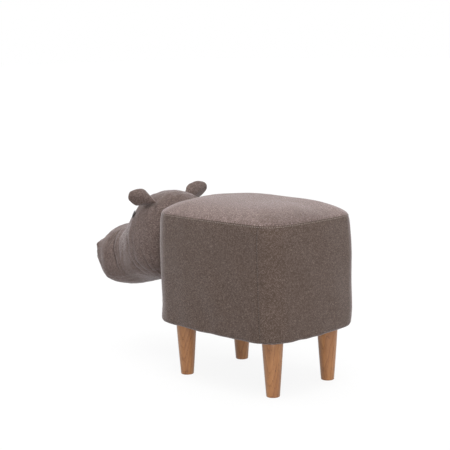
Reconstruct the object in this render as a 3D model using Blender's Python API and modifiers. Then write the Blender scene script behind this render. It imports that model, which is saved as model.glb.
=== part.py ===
"""Hippo footstool: a padded box on four turned legs, with a stuffed head bolted to its front.

All sizes are in metres. The nose points to -Y, the hippo's left flank to +X and +Z is up. The
origin is on the floor, below the middle of the whole length.
"""

import math

import bmesh
import bpy
from mathutils import Matrix, Vector
from mathutils.bvhtree import BVHTree

# Clearances
GAP = 0.0003
MERGE = 0.00001
OVERRUN = 0.4

# Plan of the body: four bowed sides and four rounded corners
BODY_WIDTH = 0.272
BODY_LENGTH = 0.370
FLANK_BOW = 0.0105
FRONT_BOW = 0.038
REAR_BOW = 0.0142
FRONT_CORNER = 0.060
REAR_CORNER = 0.047
# Place of the seams between side panels, from the flank's end of a corner to its other end
FRONT_SEAM_SHARE = 0.72
REAR_SEAM_SHARE = 0.10

# Heights and wall of the body
TOP_SEAM = 0.342
CROWN = 0.0315
SEAT_HEM = 0.002
WALL_DRAFT = 0.0037
WALL_BULGE = 0.004
BOTTOM_ROUND = 0.009
FLANGE = 0.022
CROWN_POWER = 3.8

# Layers of the upholstery and its boards
FABRIC = 0.0015
SIDE_FOAM = 0.010
SEAT_FOAM_EDGE = 0.0367
HARDBOARD = 0.003
WRAP_JOINT = 0.001
PLYWOOD = 0.012
DUST_CLOTH = 0.0008
DUST_CLOTH_INSET = 0.013

# Turned legs, and the posts that stand over them inside the body
LEG_HEIGHT = 0.1126
LEG_FOOT_RADIUS = 0.0135
LEG_TOP_RADIUS = 0.0213
LEG_EDGE = 0.0012
LEG_FROM_SIDE = 0.0543
LEG_FROM_FRONT = 0.0718
LEG_FROM_REAR = 0.0518
POST_WIDTH = 0.036

# Leg bolts and the threaded inserts in the posts
LEG_BOLT_RADIUS = 0.004
LEG_BOLT_IN_LEG = 0.033
LEG_BOLT_IN_POST = 0.022
LEG_BOLT_CHAMFER = 0.0006
INSERT_RADIUS = 0.006
INSERT_LENGTH = 0.020
INSERT_RIM = 0.0012

# Rail inside the front wall that the head is bolted to
RAIL_HEIGHT = 0.060
HEAD_BOLT_SPREAD = 0.035
HEAD_BOLT_RADIUS = 0.003
HEAD_BOLT_HEAD_RADIUS = 0.0065
HEAD_BOLT_HEAD = 0.004
HEAD_BOLT_TIP = 0.003
HEAD_NUT_RADIUS = 0.0095
HEAD_NUT_FLANGE = 0.0014
HEAD_NUT_BARREL_RADIUS = 0.0042
NECK_BOARD = 0.009
NECK_BOARD_WIDTH = 0.124
NECK_BOARD_HEIGHT = 0.100

# Stuffed head, from inside the body's front to the seam of the muzzle panel
HEAD_BACK = 0.023
MUZZLE_REACH = 0.218
NOSE_DOME = 0.018
HEAD_CHIN = 0.1515
HEAD_HEIGHT = 0.218
HEAD_HALF_WIDTH = 0.098
MUZZLE_SLOPE = 0.163
WIDEST_SHARE = 0.39
BROW_POWER = 2.2
JAW_POWER = 2.4
JAW_SQUARENESS = 1.1
# Each row: place from the neck to the muzzle seam, top, bottom, half width, squareness of the jaw
HEAD_SHARES = (
    (0.000, 0.800, 0.215, 0.695, 0.0),
    (0.070, 0.865, 0.190, 0.800, 0.0),
    (0.180, 0.975, 0.115, 0.960, 0.0),
    (0.315, 1.000, 0.085, 1.000, 0.0),
    (0.475, 0.962, 0.070, 0.990, 0.0),
    (0.585, 0.812, 0.045, 0.925, 0.0),
    (0.697, 0.665, 0.020, 0.915, 0.0),
    (0.843, 0.618, 0.008, 0.962, 0.2),
    (0.910, 0.602, 0.043, 0.925, 0.6),
    (1.000, 0.545, 0.215, 0.866, 1.0),
)
NOSE_SHARES = (0.9, 0.7, 0.45)

# Ears: leaves with a pinched root, cupped towards the nose
EAR_SPREAD = 0.0533
EAR_FROM_FRONT = 0.0529
EAR_LENGTH = 0.0645
EAR_WIDTH = 0.0375
EAR_THICKNESS = 0.008
EAR_CUP = 0.0116
EAR_CURL = 0.0021
EAR_BEND = 0.0022
EAR_ROOT = 0.010
EAR_SWEEP = math.radians(12.9)
EAR_RISE = math.radians(14.6)
EAR_ROLL = math.radians(7.1)
# Each row: place from the root to the tip, width, thickness, cup
EAR_SHARES = (
    (0.00, 0.405, 1.00, 0.80),
    (0.16, 0.730, 1.00, 1.00),
    (0.35, 0.995, 0.95, 0.90),
    (0.55, 1.000, 0.85, 0.70),
    (0.72, 0.915, 0.75, 0.55),
    (0.87, 0.710, 0.60, 0.35),
    (0.96, 0.470, 0.45, 0.15),
)

# Eyes: glossy buttons on a shank, held by a washer behind the fabric
EYE_FROM_FRONT = 0.0905
EYE_HEIGHT = 0.3225
EYE_RADIUS = 0.008
EYE_DOME = 0.0029
EYE_EDGE = 0.0012
EYE_SEAT = 0.0008
EYE_SHANK_RADIUS = 0.0022
EYE_SHANK = 0.009
WASHER_RADIUS = 0.005
WASHER_THICKNESS = 0.0012
WASHER_SEAT = 0.0014

# Facets
FRONT_STEPS = 4
CORNER_STEPS = 6
FLANK_STEPS = 6
REAR_STEPS = 3
ROUND_STEPS = 3
WALL_STEPS = 4
CROWN_RING_SHARES = (0.975, 0.93, 0.86, 0.74, 0.56, 0.32)
HEAD_SIDES = 28
HEAD_STEPS = 2
EAR_SIDES = 14
LEG_SIDES = 24
BOLT_SIDES = 14
EYE_SIDES = 20
EYE_DOME_STEPS = 4

# Places that follow from the sizes
DUST_CLOTH_BOTTOM = LEG_HEIGHT + GAP
PANEL_BOTTOM = DUST_CLOTH_BOTTOM + DUST_CLOTH + GAP
SKIN_DEPTH = FABRIC + GAP
BASE_BOTTOM = PANEL_BOTTOM + SKIN_DEPTH
BASE_TOP = BASE_BOTTOM + PLYWOOD
POST_BOTTOM = BASE_TOP + GAP
SEAT_BOARD_TOP = TOP_SEAM - SEAT_FOAM_EDGE
SEAT_BOARD_BOTTOM = SEAT_BOARD_TOP - PLYWOOD
POST_TOP = SEAT_BOARD_BOTTOM - GAP
FOAM_INNER = SKIN_DEPTH + SIDE_FOAM
WRAP_OUTER = FOAM_INNER + GAP
WRAP_INNER = WRAP_OUTER + HARDBOARD
BOARD_INSET = WRAP_INNER + GAP
WALL_START = PANEL_BOTTOM + BOTTOM_ROUND
HEAD_BOLT_HEIGHT = POST_TOP - RAIL_HEIGHT / 2


def wall_inset(height):
    """How far the body's wall stands in from its plan at this height; it swells in the middle."""
    share = (height - WALL_START) / (TOP_SEAM - WALL_START)
    return WALL_DRAFT * share - WALL_BULGE * 4 * share * (1 - share)


def wall_heights():
    """Heights of the rows of facets up the wall; one row is level with the seat board."""
    heights = []
    for step in range(1, WALL_STEPS + 1):
        heights.append(WALL_START + (SEAT_BOARD_TOP - WALL_START) * step / WALL_STEPS)
    return heights


WALL_REACH = -min(wall_inset(height) for height in wall_heights())
HEAD_REACH = MUZZLE_REACH + NOSE_DOME
REAR_Y = (BODY_LENGTH + HEAD_REACH - WALL_REACH) / 2
FRONT_Y = REAR_Y - BODY_LENGTH
MIDDLE_Y = (FRONT_Y + REAR_Y) / 2
LEG_X = BODY_WIDTH / 2 - LEG_FROM_SIDE
LEG_FRONT_Y = FRONT_Y + LEG_FROM_FRONT
LEG_REAR_Y = REAR_Y - LEG_FROM_REAR
RAIL_REAR_Y = LEG_FRONT_Y - POST_WIDTH / 2 - GAP
NECK_BOARD_REAR_Y = FRONT_Y - WALL_REACH - GAP
NECK_BOARD_FRONT_Y = NECK_BOARD_REAR_Y - NECK_BOARD


def clear_scene():
    """Removes what the startup file holds."""
    for obj in list(bpy.data.objects):
        bpy.data.objects.remove(obj, do_unlink=True)


def new_collection(name):
    """A collection linked to the scene."""
    collection = bpy.data.collections.new(name)
    bpy.context.scene.collection.children.link(collection)
    return collection


clear_scene()
STOOL = new_collection("hippo_footstool")
CUTTERS = new_collection("cutters")


def make_material(name, colour, roughness, metallic=0.0):
    """A plain Principled material."""
    material = bpy.data.materials.new(name)
    material.use_nodes = True
    shader = material.node_tree.nodes["Principled BSDF"]
    shader.inputs["Base Color"].default_value = (*colour, 1.0)
    shader.inputs["Roughness"].default_value = roughness
    shader.inputs["Metallic"].default_value = metallic
    material.diffuse_color = (*colour, 1.0)
    return material


MATERIALS = {
    "cover_fabric": make_material("cover_fabric", (0.21, 0.175, 0.16), 0.95),
    "seat_fabric": make_material("seat_fabric", (0.24, 0.20, 0.185), 0.95),
    "dust_cloth": make_material("dust_cloth", (0.02, 0.02, 0.022), 0.9),
    "foam": make_material("foam", (0.75, 0.68, 0.45), 0.95),
    "filling": make_material("filling", (0.85, 0.85, 0.83), 0.95),
    "plywood": make_material("plywood", (0.55, 0.38, 0.21), 0.7),
    "pine": make_material("pine", (0.62, 0.44, 0.25), 0.7),
    "hardboard": make_material("hardboard", (0.19, 0.10, 0.05), 0.6),
    "leg_wood": make_material("leg_wood", (0.45, 0.22, 0.09), 0.45),
    "steel": make_material("steel", (0.55, 0.55, 0.56), 0.35, 1.0),
    "eye_black": make_material("eye_black", (0.01, 0.01, 0.011), 0.12),
    "washer_plastic": make_material("washer_plastic", (0.03, 0.03, 0.03), 0.5),
}


def mesh_of(bm, name="mesh"):
    """Turns a bmesh into a smooth-shaded mesh that keeps its hard edges."""
    mesh = bpy.data.meshes.new(name)
    bm.to_mesh(mesh)
    bm.free()
    mesh.shade_smooth()
    mesh.set_sharp_from_angle(angle=math.radians(40))
    return mesh


def place(name, mesh, material, location=(0, 0, 0), rotation=None):
    """Adds a piece of the stool in its own object."""
    obj = bpy.data.objects.new(name, mesh)
    STOOL.objects.link(obj)
    if not mesh.materials:
        mesh.materials.append(MATERIALS[material])
    obj.location = location
    if rotation is not None:
        obj.rotation_euler = rotation.to_euler()
    return obj


def place_cutter(name, mesh, location=(0, 0, 0), rotation=None):
    """Adds a hidden shape that only cuts others."""
    obj = bpy.data.objects.new(name, mesh)
    CUTTERS.objects.link(obj)
    obj.hide_render = True
    obj.display_type = "WIRE"
    obj.location = location
    if rotation is not None:
        obj.rotation_euler = rotation.to_euler()
    return obj


def cut(obj, cutter, operation="DIFFERENCE"):
    """Cuts the object with the cutter, or keeps only what is inside it."""
    boolean = obj.modifiers.new(cutter.name, "BOOLEAN")
    boolean.operation = operation
    boolean.solver = "EXACT"
    boolean.object = cutter


def thicken(obj, thickness):
    """Gives an open surface its thickness, inwards."""
    solidify = obj.modifiers.new("Thickness", "SOLIDIFY")
    solidify.thickness = thickness
    solidify.offset = -1
    solidify.use_even_offset = True


def loft(rings, closed=False, caps=False, point=None):
    """Joins rings of equal count with faces; closed joins the last to the first, point ends in a tip."""
    bm = bmesh.new()
    rows = [[bm.verts.new(spot) for spot in ring] for ring in rings]
    if closed:
        rows.append(rows[0])
    for lower, upper in zip(rows, rows[1:]):
        for i in range(len(lower)):
            j = (i + 1) % len(lower)
            bm.faces.new((lower[i], lower[j], upper[j], upper[i]))
    if caps:
        bm.faces.new(reversed(rows[0]))
    if point is not None:
        tip = bm.verts.new(point)
        last = rows[-1]
        for i in range(len(last)):
            bm.faces.new((last[i], last[(i + 1) % len(last)], tip))
    elif caps:
        bm.faces.new(rows[-1])
    bm.normal_update()
    return bm


def turned(profile, sides):
    """Mesh of (radius, height) points turned about Z; a profile that leaves the axis is a closed ring."""
    mesh = bpy.data.meshes.new("profile")
    count = len(profile)
    edges = [(i, i + 1) for i in range(count - 1)]
    if profile[0][0] > 0:
        edges.append((count - 1, 0))
    mesh.from_pydata([(radius, 0, height) for radius, height in profile], edges, [])
    obj = bpy.data.objects.new("profile", mesh)
    bpy.context.scene.collection.objects.link(obj)
    screw = obj.modifiers.new("Turn", "SCREW")
    screw.steps = sides
    screw.render_steps = sides
    screw.use_merge_vertices = True
    screw.merge_threshold = MERGE
    bpy.context.view_layer.update()
    evaluated = obj.evaluated_get(bpy.context.evaluated_depsgraph_get())
    result = bpy.data.meshes.new_from_object(evaluated)
    bpy.data.objects.remove(obj, do_unlink=True)
    result.shade_smooth()
    result.set_sharp_from_angle(angle=math.radians(40))
    return result


def box_mesh(low, high):
    """Mesh of a box between two opposite corners."""
    low = Vector(low)
    high = Vector(high)
    bm = bmesh.new()
    bmesh.ops.create_cube(bm, size=1)
    bmesh.ops.scale(bm, verts=bm.verts, vec=high - low)
    bmesh.ops.translate(bm, verts=bm.verts, vec=(low + high) / 2)
    return mesh_of(bm)


def cylinder_mesh(radius, start, end, sides=BOLT_SIDES):
    """Mesh of a cylinder about Z between two heights."""
    bm = bmesh.new()
    bmesh.ops.create_cone(
        bm, cap_ends=True, segments=sides, radius1=radius, radius2=radius, depth=end - start
    )
    bmesh.ops.translate(bm, verts=bm.verts, vec=(0, 0, (start + end) / 2))
    return mesh_of(bm)


def prism_mesh(outline, low, high):
    """Mesh of a flat outline of (x, y) points raised between two heights."""
    bm = bmesh.new()
    base = bm.faces.new([bm.verts.new((x, y, low)) for x, y in outline])
    raised = bmesh.ops.extrude_face_region(bm, geom=[base])
    top = [item for item in raised["geom"] if isinstance(item, bmesh.types.BMVert)]
    bmesh.ops.translate(bm, verts=top, vec=(0, 0, high - low))
    bmesh.ops.recalc_face_normals(bm, faces=bm.faces)
    return mesh_of(bm)


def direction(angle):
    """Unit vector at this angle in plan."""
    return Vector((math.cos(angle), math.sin(angle)))


def bow_radius(chord, bow):
    """Radius of an arc that rises by bow over a chord."""
    return (chord * chord / 4 + bow * bow) / (2 * bow)


def circles_meet(first, first_radius, second, second_radius, outwards):
    """The point where two circles cross, on the side that lies outwards."""
    across = second - first
    span = across.length
    along = (first_radius**2 - second_radius**2 + span**2) / (2 * span)
    aside = math.sqrt(first_radius**2 - along**2)
    middle = first + across * (along / span)
    normal = Vector((-across.y, across.x)) / span
    spots = (middle + normal * aside, middle - normal * aside)
    return max(spots, key=lambda spot: spot.dot(outwards))


def angle_of(vector):
    """Angle of a vector in plan."""
    return math.atan2(vector.y, vector.x)


def plan_arcs():
    """Arcs of the plan for x > 0, front to rear: centre, radius, first and last angle, steps."""
    half = BODY_WIDTH / 2
    flank_radius = bow_radius(BODY_LENGTH, FLANK_BOW)
    front_radius = bow_radius(BODY_WIDTH, FRONT_BOW)
    rear_radius = bow_radius(BODY_WIDTH, REAR_BOW)
    flank = Vector((half - flank_radius, MIDDLE_Y))
    front = Vector((0, FRONT_Y + front_radius))
    rear = Vector((0, REAR_Y - rear_radius))
    front_corner = circles_meet(
        flank, flank_radius - FRONT_CORNER, front, front_radius - FRONT_CORNER, Vector((1, -1))
    )
    rear_corner = circles_meet(
        flank, flank_radius - REAR_CORNER, rear, rear_radius - REAR_CORNER, Vector((1, 1))
    )
    front_end = angle_of(front_corner - front)
    flank_start = angle_of(front_corner - flank)
    flank_end = angle_of(rear_corner - flank)
    rear_start = angle_of(rear_corner - rear)
    return (
        (front, front_radius, -math.pi / 2, front_end, FRONT_STEPS),
        (front_corner, FRONT_CORNER, front_end, flank_start, CORNER_STEPS),
        (flank, flank_radius, flank_start, flank_end, FLANK_STEPS),
        (rear_corner, REAR_CORNER, flank_end, rear_start, CORNER_STEPS),
        (rear, rear_radius, rear_start, math.pi / 2, REAR_STEPS),
    )


ARCS = plan_arcs()


def plan(inset):
    """Closed outline of the body at this inset, anticlockwise from the middle of the front."""
    half = []
    for centre, radius, first, last, steps in ARCS:
        for step in range(steps):
            angle = first + (last - first) * step / steps
            half.append(centre + direction(angle) * (radius - inset))
    half.append(Vector((0, REAR_Y - inset)))
    other = [Vector((-spot.x, spot.y)) for spot in reversed(half[1:-1])]
    return half + other


def ring(inset, height, share=1.0):
    """The plan's outline at a height, drawn in towards the middle by a share."""
    return [
        Vector((spot.x * share, MIDDLE_Y + (spot.y - MIDDLE_Y) * share, height))
        for spot in plan(inset)
    ]


def bottom_round_rings(depth):
    """Rings where the wall turns under the body, this deep below the skin."""
    reach = BOTTOM_ROUND - depth
    rings = []
    for step in range(ROUND_STEPS + 1):
        angle = math.pi / 2 * step / ROUND_STEPS
        inset = BOTTOM_ROUND - reach * math.sin(angle)
        rings.append(ring(inset, WALL_START - reach * math.cos(angle)))
    return rings


def wall_rings(depth, heights):
    """Rings up the wall, this deep below the skin."""
    return [ring(wall_inset(height) + depth, height) for height in heights]


def crown_height(share):
    """Height of the seat's skin where the outline is drawn in by this share."""
    return TOP_SEAM + SEAT_HEM + (CROWN - SEAT_HEM) * (1 - share**CROWN_POWER)


def crown_rings(depth):
    """Rings from the top seam over the seat, this deep below the skin."""
    inset = WALL_DRAFT + depth
    rings = [ring(inset, TOP_SEAM), ring(inset, crown_height(1) - depth)]
    for share in CROWN_RING_SHARES:
        rings.append(ring(inset, crown_height(share) - depth, share))
    return rings


def crown_top(depth):
    """The middle of the seat, this deep below the skin."""
    return (0, MIDDLE_Y, crown_height(0) - depth)


def body_clearance():
    """Cutter: the whole body, one gap larger all over."""
    rings = bottom_round_rings(-GAP) + wall_rings(-GAP, wall_heights()) + crown_rings(-GAP)
    return place_cutter("body_clearance", mesh_of(loft(rings, caps=True, point=crown_top(-GAP))))


def seam_corner(arc, side, share):
    """Centre of a corner arc and the direction of the seam that runs down it."""
    centre, _, first, last, _ = arc
    outwards = direction(first + (last - first) * share)
    return Vector((centre.x * side, centre.y)), Vector((outwards.x * side, outwards.y))


def seam_wedge(name, first, second):
    """Cutter: what lies between two corner seams, half a gap clear of each."""
    outline = []
    ahead = (first[1] + second[1]).normalized() * OVERRUN
    for (centre, outwards), turn in ((first, 1), (second, -1)):
        along = Vector((-outwards.y, outwards.x)) * (turn * GAP / 2)
        far = centre + along + outwards * OVERRUN
        outline.append([centre + along, far, far + ahead])
    points = outline[0] + outline[1][::-1]
    return place_cutter(name, prism_mesh(points, -OVERRUN, OVERRUN + TOP_SEAM))


def seam_wedges():
    """Side of the body and the cutter that keeps only that side, between its two corner seams."""
    front_left = seam_corner(ARCS[1], 1, 1 - FRONT_SEAM_SHARE)
    rear_left = seam_corner(ARCS[3], 1, REAR_SEAM_SHARE)
    front_right = seam_corner(ARCS[1], -1, 1 - FRONT_SEAM_SHARE)
    rear_right = seam_corner(ARCS[3], -1, REAR_SEAM_SHARE)
    return {
        "left": seam_wedge("wedge_left", front_left, rear_left),
        "rear": seam_wedge("wedge_rear", rear_left, rear_right),
        "right": seam_wedge("wedge_right", rear_right, front_right),
        "front": seam_wedge("wedge_front", front_right, front_left),
    }


def make_sides(wedges):
    """Side panels of the cover, sewn down the corners and turned in under the body, and their foam."""
    skin = [ring(BOTTOM_ROUND + FLANGE, PANEL_BOTTOM)]
    skin += bottom_round_rings(0) + wall_rings(0, wall_heights() + [TOP_SEAM - GAP])
    sheet = [ring(FOAM_INNER, BASE_BOTTOM)]
    sheet += bottom_round_rings(SKIN_DEPTH) + wall_rings(SKIN_DEPTH, wall_heights())
    sheet.append(ring(FOAM_INNER, SEAT_BOARD_TOP))
    names = {
        "left": ("flank_panel_left", "flank_foam_left"),
        "rear": ("rear_panel", "rear_foam"),
        "right": ("flank_panel_right", "flank_foam_right"),
        "front": ("front_panel", "front_foam"),
    }
    pieces = {}
    for side, (panel_name, foam_name) in names.items():
        panel = place(panel_name, mesh_of(loft(skin)), "cover_fabric")
        thicken(panel, FABRIC)
        foam = place(foam_name, mesh_of(loft(sheet, closed=True)), "foam")
        for piece in (panel, foam):
            cut(piece, wedges[side], "INTERSECT")
        pieces[side] = (panel, foam)
    return pieces


def make_seat():
    """The crowned seat: its cover and the foam below."""
    cover = place("seat_cover", mesh_of(loft(crown_rings(0), point=crown_top(0))), "seat_fabric")
    thicken(cover, FABRIC)
    rings = wall_rings(SKIN_DEPTH, [SEAT_BOARD_TOP + GAP])
    rings += crown_rings(SKIN_DEPTH)
    foam = mesh_of(loft(rings, caps=True, point=crown_top(SKIN_DEPTH)))
    place("seat_foam", foam, "foam")


def make_side_wrap():
    """The hardboard bent round the boards, with its butt joint at the rear."""
    spots = ((WRAP_INNER, BASE_BOTTOM), (WRAP_OUTER, BASE_BOTTOM))
    spots += ((WRAP_OUTER, SEAT_BOARD_TOP), (WRAP_INNER, SEAT_BOARD_TOP))
    rings = [ring(inset, height) for inset, height in spots]
    wrap = place("side_wrap", mesh_of(loft(rings, closed=True)), "hardboard")
    joint = box_mesh((-WRAP_JOINT / 2, MIDDLE_Y, -OVERRUN), (WRAP_JOINT / 2, OVERRUN, OVERRUN))
    cut(wrap, place_cutter("wrap_joint_cutter", joint))
    return wrap


def leg_places():
    """Name and place of each leg."""
    for end, y in (("front", LEG_FRONT_Y), ("rear", LEG_REAR_Y)):
        for side, x in (("left", LEG_X), ("right", -LEG_X)):
            yield f"{end}_{side}", x, y


def make_boards():
    """The base board, the seat board and the cloth under the base, with holes for the leg bolts."""
    plan_board = [tuple(spot) for spot in plan(BOARD_INSET)]
    base = place("base_board", prism_mesh(plan_board, BASE_BOTTOM, BASE_TOP), "plywood")
    place("seat_board", prism_mesh(plan_board, SEAT_BOARD_BOTTOM, SEAT_BOARD_TOP), "plywood")
    plan_cloth = [tuple(spot) for spot in plan(DUST_CLOTH_INSET)]
    cloth_top = DUST_CLOTH_BOTTOM + DUST_CLOTH
    cloth = place("dust_cover", prism_mesh(plan_cloth, DUST_CLOTH_BOTTOM, cloth_top), "dust_cloth")
    hole = cylinder_mesh(LEG_BOLT_RADIUS + GAP, 0, BASE_TOP + GAP)
    for name, x, y in leg_places():
        cutter = place_cutter("bolt_hole_" + name, hole, (x, y, 0))
        cut(base, cutter)
        cut(cloth, cutter)


def leg_mesh():
    """A leg: a straight taper with eased edges and a blind hole for its bolt."""
    hole = LEG_BOLT_RADIUS + GAP
    hole_bottom = LEG_HEIGHT - LEG_BOLT_IN_LEG - GAP
    profile = (
        (0, hole_bottom),
        (hole, hole_bottom),
        (hole, LEG_HEIGHT),
        (LEG_TOP_RADIUS - LEG_EDGE, LEG_HEIGHT),
        (LEG_TOP_RADIUS, LEG_HEIGHT - LEG_EDGE),
        (LEG_FOOT_RADIUS, LEG_EDGE),
        (LEG_FOOT_RADIUS - LEG_EDGE, 0),
        (0, 0),
    )
    return turned(profile, LEG_SIDES)


def leg_bolt_mesh():
    """A hanger bolt, half in the leg and half in the post."""
    low = LEG_HEIGHT - LEG_BOLT_IN_LEG
    high = POST_BOTTOM + LEG_BOLT_IN_POST
    profile = (
        (0, high),
        (LEG_BOLT_RADIUS - LEG_BOLT_CHAMFER, high),
        (LEG_BOLT_RADIUS, high - LEG_BOLT_CHAMFER),
        (LEG_BOLT_RADIUS, low + LEG_BOLT_CHAMFER),
        (LEG_BOLT_RADIUS - LEG_BOLT_CHAMFER, low),
        (0, low),
    )
    return turned(profile, BOLT_SIDES)


def leg_insert_mesh():
    """A threaded insert in the bottom of a post."""
    bore = LEG_BOLT_RADIUS + GAP
    high = POST_BOTTOM + INSERT_LENGTH
    profile = (
        (bore, high),
        (INSERT_RADIUS - INSERT_RIM, high),
        (INSERT_RADIUS, high - INSERT_RIM),
        (INSERT_RADIUS, POST_BOTTOM),
        (bore, POST_BOTTOM),
    )
    return turned(profile, BOLT_SIDES)


def make_legs_and_posts():
    """Four legs, each bolted through the base board into a post that carries the seat board."""
    leg = leg_mesh()
    bolt = leg_bolt_mesh()
    insert = leg_insert_mesh()
    half = POST_WIDTH / 2
    insert_hole = cylinder_mesh(INSERT_RADIUS + GAP, 0, POST_BOTTOM + INSERT_LENGTH + GAP)
    tip_hole = cylinder_mesh(LEG_BOLT_RADIUS + GAP, 0, POST_BOTTOM + LEG_BOLT_IN_POST + GAP)
    for name, x, y in leg_places():
        place("leg_" + name, leg, "leg_wood", (x, y, 0))
        place("leg_bolt_" + name, bolt, "steel", (x, y, 0))
        place("leg_insert_" + name, insert, "steel", (x, y, 0))
        block = box_mesh((-half, -half, POST_BOTTOM), (half, half, POST_TOP))
        post = place("post_" + name, block, "pine", (x, y, 0))
        cut(post, place_cutter("insert_hole_" + name, insert_hole, (x, y, 0)))
        cut(post, place_cutter("tip_hole_" + name, tip_hole, (x, y, 0)))


def make_head_rail():
    """The solid rail between the front posts and the front of the wrap."""
    outline = [tuple(spot) for spot in plan(BOARD_INSET)]
    rail = place("head_rail", prism_mesh(outline, POST_TOP - RAIL_HEIGHT, POST_TOP), "pine")
    half = LEG_X + POST_WIDTH / 2
    keep = box_mesh((-half, FRONT_Y - OVERRUN, 0), (half, RAIL_REAR_Y, OVERRUN))
    cut(rail, place_cutter("rail_span", keep), "INTERSECT")
    return rail


def head_section(place_share, top_share, bottom_share, half_share, square_share):
    """One rib of the head: an egg of unlike powers above and below its widest point."""
    jaw_power = JAW_POWER + JAW_SQUARENESS * square_share
    top = HEAD_CHIN + HEAD_HEIGHT * top_share
    bottom = HEAD_CHIN + HEAD_HEIGHT * bottom_share
    widest = bottom + (top - bottom) * WIDEST_SHARE
    reach = (HEAD_BACK + MUZZLE_REACH) * place_share
    slope = MUZZLE_SLOPE * place_share**2
    spots = []
    for side in range(HEAD_SIDES):
        angle = 2 * math.pi * side / HEAD_SIDES
        across = math.cos(angle)
        up = math.sin(angle)
        power = BROW_POWER if up > 0 else jaw_power
        tall = top - widest if up > 0 else widest - bottom
        x = HEAD_HALF_WIDTH * half_share * math.copysign(abs(across) ** (2 / power), across)
        z = widest + tall * math.copysign(abs(up) ** (2 / power), up)
        y = FRONT_Y + HEAD_BACK - reach - slope * (z - (top + bottom) / 2)
        spots.append(Vector((x, y, z)))
    return spots


def smooth_rows(rows, steps):
    """Rows of shares with more rows between them, along a Catmull-Rom curve."""
    first = [2 * a - b for a, b in zip(rows[0], rows[1])]
    last = [2 * a - b for a, b in zip(rows[-1], rows[-2])]
    padded = [first, *rows, last]
    result = []
    for i in range(1, len(padded) - 2):
        for step in range(steps):
            t = step / steps
            row = []
            for a, b, c, d in zip(*padded[i - 1 : i + 3]):
                bend = (2 * a - 5 * b + 4 * c - d) * t**2 + (3 * b - a - 3 * c + d) * t**3
                row.append((2 * b + (c - a) * t + bend) / 2)
            result.append(row)
    result.append(rows[-1])
    return result


def head_form(depth=0.0):
    """The stuffed head as one closed form, this deep below its skin."""
    rings = [head_section(*row) for row in smooth_rows(HEAD_SHARES, HEAD_STEPS)]
    rim = rings[-1]
    centre = sum(rim, Vector()) / len(rim)
    for share in NOSE_SHARES:
        forward = Vector((0, -NOSE_DOME * (1 - share**2), 0))
        rings.append([centre + (spot - centre) * share + forward for spot in rim])
    bm = loft(rings, caps=True, point=(0, FRONT_Y - HEAD_REACH, centre.z))
    if depth:
        moves = [(vert, vert.normal * (depth * vert.calc_shell_factor())) for vert in bm.verts]
        for vert, move in moves:
            vert.co -= move
    return bm


def muzzle_seam():
    """A point on the plane of the muzzle seam, and the turn that lays -Y square to it."""
    _, top_share, bottom_share, _, _ = HEAD_SHARES[-1]
    height = HEAD_CHIN + HEAD_HEIGHT * (top_share + bottom_share) / 2
    turn = Matrix.Rotation(math.atan(MUZZLE_SLOPE), 3, "X")
    return Vector((0, FRONT_Y - MUZZLE_REACH, height)), turn


def eye_seats():
    """Side, place on the head's skin and outward direction of each eye."""
    bm = head_form()
    tree = BVHTree.FromBMesh(bm)
    inwards = Vector((-1, 0, 0))
    start = Vector((OVERRUN, FRONT_Y - EYE_FROM_FRONT, EYE_HEIGHT))
    spot, _, _, _ = tree.ray_cast(start, inwards)
    normal = Vector()
    for step in range(EYE_SIDES):
        aside = direction(2 * math.pi * step / EYE_SIDES) * EYE_RADIUS
        _, facing, _, _ = tree.ray_cast(start + Vector((0, aside.x, aside.y)), inwards)
        normal += facing
    normal.normalize()
    bm.free()
    for side, sign in (("left", 1), ("right", -1)):
        mirror = Vector((sign, 1, 1))
        yield side, spot * mirror, normal * mirror


def make_head(body):
    """The head's cover, its muzzle panel and its filling."""
    point, turn = muzzle_seam()
    span = OVERRUN
    ahead = box_mesh((-span, -span, -span), (span, GAP / 2, span))
    behind = box_mesh((-span, -GAP / 2, -span), (span, span, span))
    cover = place("head_cover", mesh_of(head_form()), "cover_fabric")
    thicken(cover, FABRIC)
    cut(cover, body)
    cut(cover, place_cutter("ahead_of_muzzle_seam", ahead, point, turn))
    panel = place("muzzle_panel", mesh_of(head_form()), "cover_fabric")
    thicken(panel, FABRIC)
    cut(panel, place_cutter("behind_muzzle_seam", behind, point, turn))
    filling = place("head_filling", mesh_of(head_form(SKIN_DEPTH)), "filling")
    cut(filling, body)
    return cover, filling


def ellipse(width, height):
    """Outline of an oval."""
    spots = []
    for side in range(HEAD_SIDES):
        angle = 2 * math.pi * side / HEAD_SIDES
        spots.append((width / 2 * math.cos(angle), height / 2 * math.sin(angle)))
    return spots


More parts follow.
